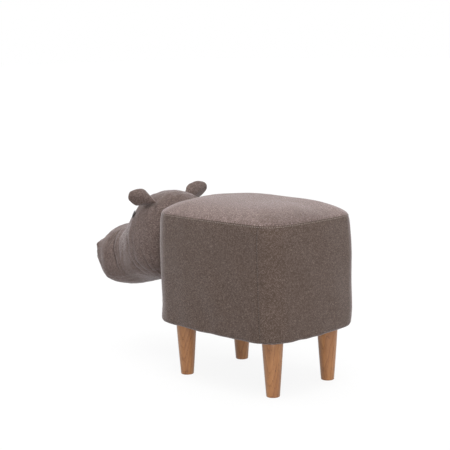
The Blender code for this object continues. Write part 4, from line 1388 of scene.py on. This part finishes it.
def head_point(place, angle):
    """Points of the head's plain form, at places along it and angles round it from the left side."""
    place, angle = np.broadcast_arrays(np.asarray(place, float), np.asarray(angle, float))
    top, bottom, half, square = (np.interp(place, HEAD_ROWS[:, 0], HEAD_ROWS[:, i]) for i in range(1, 5))
    top = HEAD_CHIN + HEAD_HEIGHT * top
    bottom = HEAD_CHIN + HEAD_HEIGHT * bottom
    widest = bottom + (top - bottom) * WIDEST_SHARE
    across, up = np.cos(angle), np.sin(angle)
    power = np.where(up > 0, BROW_POWER, JAW_POWER + JAW_SQUARENESS * square)
    tall = np.where(up > 0, top - widest, widest - bottom)
    x = HEAD_HALF_WIDTH * half * np.sign(across) * np.abs(across) ** (2 / power)
    z = widest + tall * np.sign(up) * np.abs(up) ** (2 / power)
    slope = MUZZLE_SLOPE * place**2
    y = FRONT_Y + HEAD_BACK - (HEAD_BACK + MUZZLE_REACH) * place - slope * (z - (top + bottom) / 2)
    return np.stack([x, y, z], -1)


def front_wall_y(x, height):
    """Where the front wall of the body stands, at this x and height."""
    centre = PLAN.front_centre
    reach = PLAN.front_radius - wall_inset(np.maximum(height, WALL_START))
    return centre[1] - np.sqrt(np.maximum(reach**2 - x**2, 0))


def surface_normals(grid):
    """Outward normals of a grid of points that closes round its columns."""
    around = np.roll(grid, -1, 1) - np.roll(grid, 1, 1)
    along = np.gradient(grid, axis=0)
    normal = np.cross(around, along)
    return normal / np.maximum(np.linalg.norm(normal, axis=-1, keepdims=True), 1e-9)


def line_distance(points, normals, path, side):
    """Distance to a path on the head, the side of it that a point is on and the share of its length."""
    steps = 39
    ends = np.linspace(0, 1, len(path))
    places, angles = (np.interp(np.linspace(0, 1, steps + 1), ends, values) for values in zip(*path))
    if side < 0:
        angles = 180 - angles
    line = head_point(places, np.radians(angles))
    best = np.full(points.shape[:-1], np.inf)
    facing = np.zeros(points.shape[:-1])
    shares = np.zeros(points.shape[:-1])
    for step, (start, end) in enumerate(zip(line, line[1:])):
        along = end - start
        span = along @ along
        share = np.clip(((points - start) @ along) / span, 0, 1)
        away = points - (start + share[..., None] * along)
        distance = np.linalg.norm(away, axis=-1)
        sign = np.sign(np.einsum("...i,...i", np.cross(normals, along / math.sqrt(span)), away)) * side
        closer = distance < best
        facing = np.where(closer, sign, facing)
        shares = np.where(closer, (step + share) / steps, shares)
        best = np.minimum(best, distance)
    return best, facing, shares


def fold_relief(points, normals, depth, width, path, side):
    """The valley and ridge of one fold along a path on the head, and how much painted shade it gets."""
    distance, facing, shares = line_distance(points, normals, path, side)
    strength = np.sin(math.pi * np.clip(shares, 0, 1)) ** 0.7
    value = 0.7 * np.exp(-np.abs(distance / width) ** 1.4) + 0.3 * bell(distance, 2.4 * width)
    value -= 0.25 * bell(distance - 2.6 * width, 1.6 * width) * (facing > 0)
    shade = FOLD_SHADE * depth / MM * strength * bell(distance, 0.85 * width)
    return -depth * value * strength, shade


def chin_seam_relief(points, normals):
    """The muzzle's seam down the cheeks and round the chin: its groove, the puff behind it, and its painted
    shade.
    """
    relief = np.zeros(points.shape[:-1])
    shade = np.zeros(points.shape[:-1])
    for side in (1, -1):
        distance, facing, shares = line_distance(points, normals, CHIN_SEAM, side)
        begun = np.clip(shares / 0.06, 0, 1)
        near = bell(distance, 1.3 * MM) * begun
        cheek = bell(distance - 3.0 * MM, 2.6 * MM) * (facing > 0) * begun
        relief += 0.6 * MM * cheek - 0.9 * MM * near
        shade = np.maximum(shade, CHIN_SHADE * near)
    return relief, shade


def rim_relief(from_muzzle, angles):
    """The puffed rim behind the muzzle's upper seam, its groove, and its corners that jut out."""
    tilt = np.degrees(np.arctan2(np.sin(angles), np.abs(np.cos(angles))))
    sewn = np.clip((tilt - 4) / 14, 0, 1)
    rim = (0.6 * bell(from_muzzle, 4 * MM) - 0.8 * bell(from_muzzle, 0.9 * MM)) * sewn
    corner = (2.8 * bell(tilt - 20, 6) - 0.9 * bell(tilt - 3, 9)) * bell(from_muzzle, 5 * MM)
    hollow = 3.4 * bell(tilt - 46, 17) * bell(from_muzzle, 9 * MM)
    return (rim + corner - hollow) * MM


def jaw_relief(places, angles):
    """How the chin sags behind the muzzle and the throat is drawn up towards the body."""
    below = np.clip(-np.sin(angles) - 0.3, 0, 1)
    lifted = 9.5 / (1 + np.exp((places - 0.55) / 0.045))
    return (1.4 * bell(places - 0.78, 0.12) - lifted) * below * MM


def crease_shade(points):
    """The painted shade in the crease under the root of each ear, where the ear shadows the head."""
    root, *axes = ear_axes()
    start = root + np.array(CREASE_START) @ axes
    crease = (np.array(CREASE_END) - CREASE_START) @ np.array(axes)
    shade = np.zeros(points.shape[:-1])
    for side in (1, -1):
        offset = points * np.array([side, 1, 1]) - start
        share = np.clip(offset @ crease / (crease @ crease), 0, 1)
        distance = np.linalg.norm(offset - crease * share[..., None], axis=-1)
        strength = np.sin(math.pi * (0.15 + 0.8 * share)) ** 0.5
        shade = np.maximum(shade, DEEPEST_SHADE * bell(distance, CREASE_WIDTH) * strength)
    return shade


def head_grid():
    """Grid of the head's cover from the neck to the muzzle seam: points, places and angles."""
    angles = -math.pi / 2 + np.linspace(0, 2 * math.pi, HEAD_COLUMNS, endpoint=False)
    test = np.linspace(0, 0.5, 260)
    probe = head_point(test[:, None], angles[None, :])
    gap = front_wall_y(probe[..., 0], probe[..., 2]) - 0.8 * MM - probe[..., 1]
    outside = gap > 0
    first = np.argmax(outside, axis=0)
    before = np.maximum(first - 1, 0)
    columns = np.arange(HEAD_COLUMNS)
    low, high = gap[before, columns], gap[first, columns]
    start = test[before] + (test[first] - test[before]) * np.clip(-low / (high - low + 1e-12), 0, 1)
    share = spread(0, 1, 0.0022, 0.0080, 0.05)
    places = start[None, :] + (1 - start)[None, :] * share[:, None]
    angles = np.broadcast_to(angles, places.shape)
    return head_point(places, angles), places, angles


def eye_frame(node):
    """Centre of an eye's seat and its outward axis, from its solid."""
    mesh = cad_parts[node].data
    points = np.array([vert.co for vert in mesh.vertices])
    centre = points.mean(0)
    values, axes = np.linalg.eigh(np.cov((points - centre).T))
    gaps = [abs(values[i] - np.delete(values, i).mean()) for i in range(3)]
    axis = axes[:, int(np.argmax(gaps))]
    axis = axis * np.sign(axis[0]) * np.sign(centre[0])
    reach = (points - centre) @ axis
    far = points[reach > reach.max() - 0.1 * MM]
    top = far.mean(0)
    return top, axis


def head_relief(points, normals, places, angles):
    """How far the stuffed head's cover stands out from its plain form, and the painted shade in its folds,
    seams, neck and the creases under the ears.
    """
    strength = settings().fold_depth
    relief, shade = chin_seam_relief(points, normals)
    for depth, width, path in HEAD_FOLDS:
        for side, change in ((1, 1.0), (-1, FAR_FOLDS)):
            rise, dark = fold_relief(points, normals, depth * MM * strength * change, width * MM, path, side)
            relief += rise
            shade = np.maximum(shade, dark)
    run = np.arctan2(np.cos(angles), np.sin(angles)) * COVER_RADIUS
    length = places * COVER_LENGTH
    from_muzzle = (1 - places) * COVER_LENGTH
    from_neck = np.linalg.norm(points - points[:1], axis=-1)
    relief += HEAD_SLACK * waves(run, length, 0.06, 31)
    relief += HEAD_RIPPLE * waves(run, length, 0.018, 32)
    relief += rim_relief(from_muzzle, angles) + jaw_relief(places, angles)
    temples = bell(angles - 1.0, 0.3) + bell(angles - math.pi + 1.0, 0.3)
    relief += TEMPLE_SWELL * bell(places - 0.36, 0.05) * temples
    relief += MUZZLE_PUCKER * waves(run, length * 0.2, 0.011, 33) * bell(from_muzzle - 6 * MM, 8 * MM)
    relief -= NECK_GROOVE * bell(from_neck, 3.2 * MM)
    relief += NECK_PUCKER * waves(run, length * 0.15, 0.013, 34) * bell(from_neck - 5 * MM, 9 * MM)
    for node in ("eye_left", "eye_right"):
        top, _ = eye_frame(node)
        distance = np.linalg.norm(points - top, axis=-1)
        relief -= EYE_DENT * bell(distance - 8 * MM, 4 * MM)
    shade = np.max([shade, NECK_SHADE * bell(from_neck, 4 * MM), crease_shade(points)], axis=0)
    return relief, np.clip(shade, 0, DEEPEST_SHADE)


def head_map(grid):
    """Cloth map of a grid that closes round its columns, in metres, with one column more."""
    closed = np.concatenate([grid, grid[:, :1]], axis=1)
    around = np.cumsum(np.linalg.norm(np.diff(closed, axis=1), axis=-1), axis=1)
    around = np.concatenate([np.zeros((len(grid), 1)), around], axis=1)
    around -= around[:, -1:] / 2
    along = np.concatenate([[0], np.cumsum(np.linalg.norm(np.diff(grid.mean(1), axis=0), axis=-1))])
    return np.stack([around, np.broadcast_to(along[:, None], around.shape)], -1)


def shrunk(ring, share, ahead=0.0):
    """A ring drawn in towards its middle."""
    centre = ring.mean(0)
    return centre + (ring - centre) * share + np.array([0, ahead, 0])


def make_head():
    """Makes the head's cover with its filling, and gives the rim of the muzzle's opening."""
    base, places, angles = head_grid()
    normals = surface_normals(base)
    relief, shade = head_relief(base, normals, places, angles)
    grid = base + normals * relief[..., None]
    limit = front_wall_y(grid[..., 0], grid[..., 2]) - NECK_GAP
    grid[..., 1] = np.minimum(grid[..., 1], limit)
    neck, rim = grid[0], grid[-1]
    rear = []
    for share in (0.05, 0.3, 0.6, 0.85, 0.96):
        ring = shrunk(neck, share)
        ring[:, 1] = front_wall_y(ring[:, 0], ring[:, 2]) - NECK_GAP
        rear.append(ring)
    ahead = [shrunk(rim, share, OPENING_DEPTH) for share in (0.985, 0.8, 0.5, 0.15)]
    whole = np.concatenate([np.array(rear), grid, np.array(ahead)])
    centre = neck.mean(0)
    centre[1] = float(front_wall_y(centre[0], centre[2])) - NECK_GAP
    front = rim.mean(0) + np.array([0, OPENING_DEPTH, 0])
    head = closed_rings("head_pad", whole, centre, front, head_map(whole))
    write_shade(head, shade, len(rear) * grid.shape[1])
    dress(head, "head_cloth", ("head_cover", "head_filling"))
    return rim


def make_muzzle(rim):
    """Makes the domed muzzle panel inside this rim."""
    middle = rim.mean(0)
    rings = [shrunk(rim, share, PANEL_DEPTH) for share in (0.1, 0.5, 0.9)]
    rings.append(shrunk(rim, 0.994, 0.5 * MM))
    steps = 1 - spread(0, 1, 0.006, 0.03, 0.1)
    for share in steps[steps > 0.01]:
        ring = middle + (rim - middle) * share
        inwards = (1 - share) * MUZZLE_HALF
        ring[:, 1] -= NOSE_DOME * (1 - share**2) - 0.25 * MM
        ring[:, 1] += 0.5 * MM * bell(inwards, 0.8 * MM)
        ring[:, 1] += 0.5 * MM * waves(ring[:, 0], ring[:, 2], 0.05, 41) * (1 - bell(inwards, 0.01))
        rings.append(ring)
    flat = np.concatenate([np.array(rings), np.array(rings)[:, :1]], axis=1)[..., [0, 2]]
    back = middle + np.array([0, PANEL_DEPTH, 0])
    tip = (float(middle[0]), float(rings[-1][:, 1].mean()), float(middle[2]))
    muzzle = closed_rings("muzzle_pad", rings, back, tip, flat)
    dress(muzzle, "head_cloth", ("muzzle_panel",))


class FOOTSTOOL_OT_head(bpy.types.Operator):
    """Makes the stuffed head and its muzzle panel"""

    bl_idname = "footstool.head"
    bl_label = "Head"

    def execute(self, context):
        make_muzzle(make_head())
        return {"FINISHED"}


def ear_axes():
    """Directions along, across and behind the left ear, and the place of its root."""
    level = math.cos(EAR_RISE)
    along = np.array([level * math.cos(EAR_SWEEP), -level * math.sin(EAR_SWEEP), math.sin(EAR_RISE)])
    flat = np.array([math.sin(EAR_SWEEP), math.cos(EAR_SWEEP), 0])
    back = flat * math.cos(EAR_ROLL) - np.cross(flat, along) * math.sin(EAR_ROLL)
    place = (HEAD_BACK + EAR_FROM_FRONT) / (HEAD_BACK + MUZZLE_REACH)
    tests = np.linspace(0, math.pi / 2, 400)
    ring = head_point(place, tests)
    seat = ring[np.argmin(np.abs(ring[:, 0] - EAR_SPREAD))]
    seat[1] = FRONT_Y - EAR_FROM_FRONT
    seat[2] -= 1.6 * MM
    return seat, along, np.cross(back, along), back


def make_ear(name, side):
    """A stuffed leaf with a seam round its rim and a pinched root."""
    seat, along, across, back = ear_axes()
    rows = smooth_rows([(-EAR_SUNK, *EAR_SHARES[0][1:]), *EAR_SHARES, (1.0, 0.16, 0.2, 0.05)], 7)
    angles = np.linspace(0, 2 * math.pi, EAR_COLUMNS, endpoint=False)
    rings, uv = [], []
    for place, wide, thick, cup in rows:
        inside = max(place, 0.0)
        reach = EAR_LENGTH * place
        rooted = np.clip(0.75 - 2.5 * place, 0, 1) ** 1.5
        skew = EAR_DROP[side] * rooted - EAR_BEND * math.sin(math.pi * inside)
        swing = np.cos(angles)
        lower = np.interp(inside, EAR_EDGE_SHARES, EAR_LOWER[side]) * MM
        upper = np.interp(inside, EAR_EDGE_SHARES, EAR_UPPER[side]) * MM
        aside = EAR_WIDTH / 2 * wide * swing + np.where(swing > 0, lower, upper) * swing
        rim = np.abs(np.sin(angles)) ** 0.8 * np.sign(np.sin(angles))
        lift = EAR_THICKNESS / 2 * thick * rim - EAR_CUP * cup * swing**2 + EAR_CURL * inside**2
        crease = EAR_CREASE * bell(place - 0.02, 0.22) * np.sin(aside / (3.2 * MM) + side)
        wrinkle = EAR_WRINKLE * waves(aside * 1.6, reach * 0.5, 0.016, 50 + side)
        lift = lift + (crease + wrinkle) * np.abs(np.sin(angles)) ** 0.5 + EAR_SET_BACK[side] * rooted
        ring = seat + along * reach + np.outer(aside + skew, across) + np.outer(lift, back)
        rings.append(ring)
        uv.append(np.stack([aside + 0.2 * (rim > 0), np.full(EAR_COLUMNS, reach)], -1))
    rings = np.array(rings) * np.array([side, 1, 1])
    if side < 0:
        rings = rings[:, ::-1]
        uv = [row[::-1] for row in uv]
    uv = np.array(uv)
    uv = np.concatenate([uv, uv[:, :1]], axis=1)
    ear = closed_rings(name.replace("ear", "ear_pad"), rings, rings[0].mean(0), rings[-1].mean(0), uv, 70)
    return dress(ear, "head_cloth", (name,))


class FOOTSTOOL_OT_ears(bpy.types.Operator):
    """Makes the two leaf-shaped ears"""

    bl_idname = "footstool.ears"
    bl_label = "Ears"

    def execute(self, context):
        make_ear("ear_left", 1)
        make_ear("ear_right", -1)
        return {"FINISHED"}


def turned(name, profile, sides, place, turn=None):
    """A form of (radius, height) points turned about Z, closed by a pole at each end."""
    turns = np.linspace(0, 2 * math.pi, sides, endpoint=False)
    circle = np.stack([np.cos(turns), np.sin(turns)], -1)
    rings = [np.column_stack([circle * radius, np.full(sides, height)]) for radius, height in profile[1:-1]]
    poles = [np.array([0, 0, profile[0][1]]), np.array([0, 0, profile[-1][1]])]
    matrix = np.eye(3) if turn is None else np.array(turn)
    rings = [ring @ matrix.T + place for ring in rings]
    poles = [pole @ matrix.T + place for pole in poles]
    return closed_rings(name, rings, poles[0], poles[1], angle=40)


class FOOTSTOOL_OT_eyes(bpy.types.Operator):
    """Makes the two glossy button eyes"""

    bl_idname = "footstool.eyes"
    bl_label = "Eyes"

    def execute(self, context):
        profile = [(0, -EYE_DOME)]
        profile += [(EYE_RADIUS * share, -EYE_DOME) for share in (0.5, 0.9)]
        profile += [(EYE_RADIUS * 0.975, 0.15 * MM - EYE_DOME), (EYE_RADIUS, 0.5 * MM - EYE_DOME)]
        profile.append((EYE_RADIUS, EYE_RIM - EYE_DOME))
        for angle in np.linspace(0, math.pi / 2, 13)[1:-1]:
            height = (EYE_DOME - EYE_RIM) * (math.sin(angle) - 1)
            profile.append((EYE_RADIUS * math.cos(angle), height))
        profile.append((0, 0))
        for node in ("eye_left", "eye_right"):
            top, axis = eye_frame(node)
            turn = Vector(axis).to_track_quat("Z", "Y").to_matrix()
            spot = top + np.array(EYE_SHIFT)
            eye = turned(node.replace("eye", "eye_button"), profile, 48, spot, turn)
            dress(eye, "eye_black", (node,))
        return {"FINISHED"}


class FOOTSTOOL_OT_legs(bpy.types.Operator):
    """Makes the four turned legs"""

    bl_idname = "footstool.legs"
    bl_label = "Legs"

    def execute(self, context):
        foot = LEG_FOOT_RADIUS - LEG_EDGE
        profile = [(0, 0), (LEG_FOOT_RADIUS * 0.6, 0), (foot, 0)]
        for angle in np.linspace(0, math.pi / 2, 5)[1:]:
            profile.append((foot + LEG_EDGE * math.sin(angle), LEG_EDGE * (1 - math.cos(angle))))
        for share in np.linspace(0, 1, 13)[1:-1]:
            straight = LEG_FOOT_RADIUS + (LEG_TOP_RADIUS - LEG_FOOT_RADIUS) * share
            height = LEG_EDGE + (LEG_HEIGHT - 2 * LEG_EDGE) * share
            profile.append((straight + LEG_SWELL * math.sin(math.pi * share), height))
        for drawn, down in ((0, 1), (0.35, 0.35), (1, 0)):
            profile.append((LEG_TOP_RADIUS - drawn * LEG_EDGE, LEG_HEIGHT - down * LEG_EDGE))
        profile.append((0, LEG_HEIGHT))
        for node, (x, y) in LEG_SPOTS.items():
            leg = turned(node + "_turned", profile, 64, (x, y, 0))
            dress(leg, "leg_wood", (node,))
        return {"FINISHED"}


class FOOTSTOOL_OT_underside(bpy.types.Operator):
    """Makes the dust cloth under the body and the staples round it"""

    bl_idname = "footstool.underside"
    bl_label = "Underside"

    def execute(self, context):
        run = np.linspace(0, PLAN.around, 320, endpoint=False)
        spots, facing = PLAN.at(run)
        low = LEG_HEIGHT + GLUE_GAP
        high = low + CLOTH_THICKNESS
        edge = spots - facing * CLOTH_INSET
        rings = []
        shares = (0.04, 0.3, 0.6, 0.85, 0.97, 1.0)
        for share, height in [(share, high) for share in shares] + [(share, low) for share in shares[::-1]]:
            pucker = CLOTH_PUCKER * waves(run, run * 0, 0.03, 61) * share
            across = MIDDLE_Y + (edge[:, 1] - MIDDLE_Y) * share
            rings.append(np.column_stack([edge[:, 0] * share, across, height + pucker]))
        rings = np.array(rings)
        poles = ((0, MIDDLE_Y, high), (0, MIDDLE_Y, low))
        cloth = closed_rings("dust_sheet", rings[::-1], poles[1], poles[0])
        dress(cloth, "dust_cloth", ("dust_cover",))
        shape = staple_shape()
        line = spots - facing * (CLOTH_INSET + STAPLE_SETBACK)
        path = np.column_stack([line, np.full(len(line), low)])
        down = np.tile([0.0, 0.0, -1.0], (len(line), 1))
        rows = [(path, down, True)]
        staples = set_row("staples", rows, shape, STAPLE_PITCH, "steel", STAPLE_SCATTER, 7)
        drop(shape)
        return {"FINISHED"}


class FOOTSTOOL_OT_stitches(bpy.types.Operator):
    """Sews the top seam and the corner seams of the body"""

    bl_idname = "footstool.stitches"
    bl_label = "Stitches"

    def execute(self, context):
        chosen = settings()
        top_stitch = bent_rod("top_stitch", chosen.stitch_length, *TOP_THREAD)
        run = np.linspace(0, PLAN.around, 900, endpoint=False)
        skin, normal, _ = wall_skin(run, np.full(len(run), WALL_END - STITCH_DROP))
        rows = [(skin + normal * 0.1 * MM, normal, True)]
        made = set_row("top_seam_stitches", rows, top_stitch, chosen.stitch_pitch, "sewing_thread")
        across = np.linspace(FLANGE_END, WALL_END - 5 * MM, 160)
        _, _, heights = wall_skin(np.zeros(len(across)), across)
        rows = []
        for seam in PLAN.seams(heights):
            skin, normal, _ = wall_skin(seam, across)
            rows.append((skin + normal * 0.3 * MM, normal, False))
        seam_stitch = bent_rod("seam_stitch", *CORNER_THREAD)
        made = set_row("corner_seam_stitches", rows, seam_stitch, CORNER_PITCH, "seam_thread")
        drop(top_stitch, seam_stitch)
        return {"FINISHED"}


def nostril(name, side, tree):
    """An embroidered oval of satin stitches on the muzzle panel."""
    rings, columns, rows = [], 72, 12
    angles = np.linspace(0, 2 * math.pi, columns, endpoint=False)
    for step in range(rows + 1):
        share = 1 - step / (rows + 0.4)
        rise = NOSTRIL_RISE * math.sqrt(max(0.0, 1 - share**3)) - 0.3 * MM * (share > 0.99)
        ring = []
        for angle in angles:
            across = NOSTRIL_WIDE * share * math.cos(angle)
            up = NOSTRIL_TALL * share * math.sin(angle) + NOSTRIL_SLANT * across * side
            ray = Vector((side * NOSTRIL_X + across, -1, NOSTRIL_Z + up))
            spot, normal, _, _ = tree.ray_cast(ray, Vector((0, 1, 0)))
            ridge = SATIN_RIDGE * abs(math.sin(math.pi * across / SATIN_WIDTH)) * (1 - share**4)
            ring.append(tuple(spot + normal * (rise + ridge)))
        rings.append(ring)
    rings = np.array(rings)
    rings = np.concatenate([rings[:1] + np.array([0, 1.0 * MM, 0]), rings])
    if (np.cross(rings[2, 1] - rings[2, 0], rings[3, 0] - rings[2, 0]))[1] > 0:
        rings = rings[:, ::-1]
    patch = closed_rings(name, rings, rings[0].mean(0), rings[-1].mean(0), angle=80)
    return dress(patch, "nostril_thread")


class FOOTSTOOL_OT_nostrils(bpy.types.Operator):
    """Embroiders the two nostrils"""

    bl_idname = "footstool.nostrils"
    bl_label = "Nostrils"

    def execute(self, context):
        bm = bmesh.new()
        bm.from_mesh(bpy.data.objects["muzzle_pad"].data)
        tree = BVHTree.FromBMesh(bm)
        bm.free()
        for name, side in (("nostril_left", 1), ("nostril_right", -1)):
            nostril(name, side, tree)
        return {"FINISHED"}


CAD_FINISHES = {
    "base_board": "plywood",
    "seat_board": "plywood",
    "neck_board": "plywood",
    "head_rail": "pine",
    "side_wrap": "hardboard",
    "post": "pine",
    "leg_bolt": "steel",
    "leg_insert": "steel",
    "head_bolt": "steel",
    "head_nut": "steel",
    "eye_washer": "washer_plastic",
}


class FOOTSTOOL_OT_frame_finishes(bpy.types.Operator):
    """Gives the boards, posts and fasteners inside the body their finishes"""

    bl_idname = "footstool.frame_finishes"
    bl_label = "Frame finishes"

    def execute(self, context):
        for name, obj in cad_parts.items():
            for start, material in CAD_FINISHES.items():
                if name.startswith(start):
                    obj.data.materials.clear()
                    obj.data.materials.append(finish(material))
        return {"FINISHED"}


class FOOTSTOOL_OT_stage(bpy.types.Operator):
    """Sets the floor, the light and the camera"""

    bl_idname = "footstool.stage"
    bl_label = "Stage"

    def execute(self, context):
        make_floor()
        make_light()
        make_camera()
        return {"FINISHED"}


def direct_view(tree):
    """One for rays that should see a white background, and none for those that light the stool."""
    path = tree.nodes.new("ShaderNodeLightPath")
    seen = math_of(tree, "MAXIMUM", path.outputs["Is Camera Ray"], path.outputs["Is Glossy Ray"])
    return math_of(tree, "MAXIMUM", seen, path.outputs["Is Transmission Ray"])


def make_floor():
    """A pale floor that shows as white but keeps the stool's shadow."""
    bm = bmesh.new()
    bmesh.ops.create_grid(bm, x_segments=2, y_segments=2, size=30)
    floor = bmesh_object("floor", bm)
    material, tree, shader = new_material("floor_paint")
    shader.inputs["Roughness"].default_value = 0.9
    shader.inputs["Specular IOR Level"].default_value = 0.1
    glow = tree.nodes.new("ShaderNodeEmission")
    glow.inputs["Color"].default_value = (1, 1, 1, 1)
    seen = direct_view(tree)
    mix = tree.nodes.new("ShaderNodeMixShader")
    pale = blend_of(tree, seen, solid(settings().floor_colour), (0.9, 0.9, 0.9, 1.0))
    feed(tree, shader.inputs["Base Color"], pale)
    feed(tree, mix.inputs[0], times(tree, seen, 0.9))
    tree.links.new(shader.outputs[0], mix.inputs[1])
    tree.links.new(glow.outputs[0], mix.inputs[2])
    tree.links.new(mix.outputs[0], tree.nodes["Material Output"].inputs["Surface"])
    floor.data.materials.append(material)


def soft_sun(name, direction, strength, angle):
    """A wide, even light from this direction."""
    lamp = bpy.data.lights.new(name, "SUN")
    lamp.energy = strength
    lamp.angle = math.radians(angle)
    add_object(name, lamp).rotation_euler = Vector(direction).to_track_quat("Z", "Y").to_euler()


def make_light():
    """Three soft lights, and a pale world that is brighter on one side and shows as white."""
    world = bpy.data.worlds.new("studio")
    bpy.context.scene.world = world
    world.use_nodes = True
    tree = world.node_tree
    shade = tree.nodes["Background"]
    shade.inputs["Color"].default_value = (1, 1, 1, 1)
    facing = tree.nodes.new("ShaderNodeVectorMath")
    facing.operation = "DOT_PRODUCT"
    feed(tree, facing.inputs[0], tree.nodes.new("ShaderNodeTexCoord").outputs["Generated"])
    facing.inputs[1].default_value = BRIGHT_SIDE
    glow = range_of(tree, facing.outputs["Value"], -0.4, 1.0, *WORLD_GLOW)
    strength = blend_of(tree, direct_view(tree), glow, (1.0, 1.0, 1.0, 1.0))
    feed(tree, shade.inputs["Strength"], strength)
    for name, values in LAMPS.items():
        soft_sun(name, *values)


def make_camera():
    """The camera at the photograph's angle."""
    data = bpy.data.cameras.new("camera")
    data.sensor_width = 36
    data.lens = CAMERA_LENS
    data.clip_start = 0.05
    data.clip_end = 200
    turn, pitch, roll = (math.radians(angle) for angle in (CAMERA_TURN, CAMERA_PITCH, CAMERA_ROLL))
    back = Vector((math.sin(turn) * math.cos(pitch), -math.cos(turn) * math.cos(pitch), math.sin(pitch)))
    right = Vector((math.cos(turn), math.sin(turn), 0))
    up = back.cross(right)
    level = right * math.cos(roll) + up * math.sin(roll)
    upright = up * math.cos(roll) - right * math.sin(roll)
    matrix = Matrix((level, upright, back)).transposed().to_4x4()
    matrix.translation = Vector(CAMERA_PLACE)
    camera = add_object("camera", data)
    camera.matrix_world = matrix
    bpy.context.scene.camera = camera


STEPS = (
    "sides",
    "seat",
    "head",
    "ears",
    "eyes",
    "nostrils",
    "legs",
    "underside",
    "stitches",
    "frame_finishes",
    "stage",
)


class FOOTSTOOL_PT_panel(bpy.types.Panel):
    """Lists the footstool's sizes, colours and pieces"""

    bl_idname = "FOOTSTOOL_PT_panel"
    bl_label = "Hippo footstool"
    bl_space_type = "VIEW_3D"
    bl_region_type = "UI"
    bl_category = "Footstool"

    def draw(self, context):
        for name in FootstoolSettings.__annotations__:
            self.layout.prop(context.scene.footstool, name)
        for step in STEPS:
            self.layout.operator("footstool." + step)


CLASSES = (
    FootstoolSettings,
    FOOTSTOOL_OT_sides,
    FOOTSTOOL_OT_seat,
    FOOTSTOOL_OT_head,
    FOOTSTOOL_OT_ears,
    FOOTSTOOL_OT_eyes,
    FOOTSTOOL_OT_nostrils,
    FOOTSTOOL_OT_legs,
    FOOTSTOOL_OT_underside,
    FOOTSTOOL_OT_stitches,
    FOOTSTOOL_OT_frame_finishes,
    FOOTSTOOL_OT_stage,
    FOOTSTOOL_PT_panel,
)


def register():
    """Adds the classes and the settings."""
    for cls in CLASSES:
        bpy.utils.register_class(cls)
    bpy.types.Scene.footstool = PointerProperty(type=FootstoolSettings)


def unregister():
    """Removes the settings and the classes."""
    del bpy.types.Scene.footstool
    for cls in reversed(CLASSES):
        bpy.utils.unregister_class(cls)


def main():
    """Builds the footstool."""
    register()
    bpy.context.scene.view_settings.view_transform = "Standard"
    for step in STEPS:
        getattr(bpy.ops.footstool, step)()


if __name__ == "__main__":
    main()
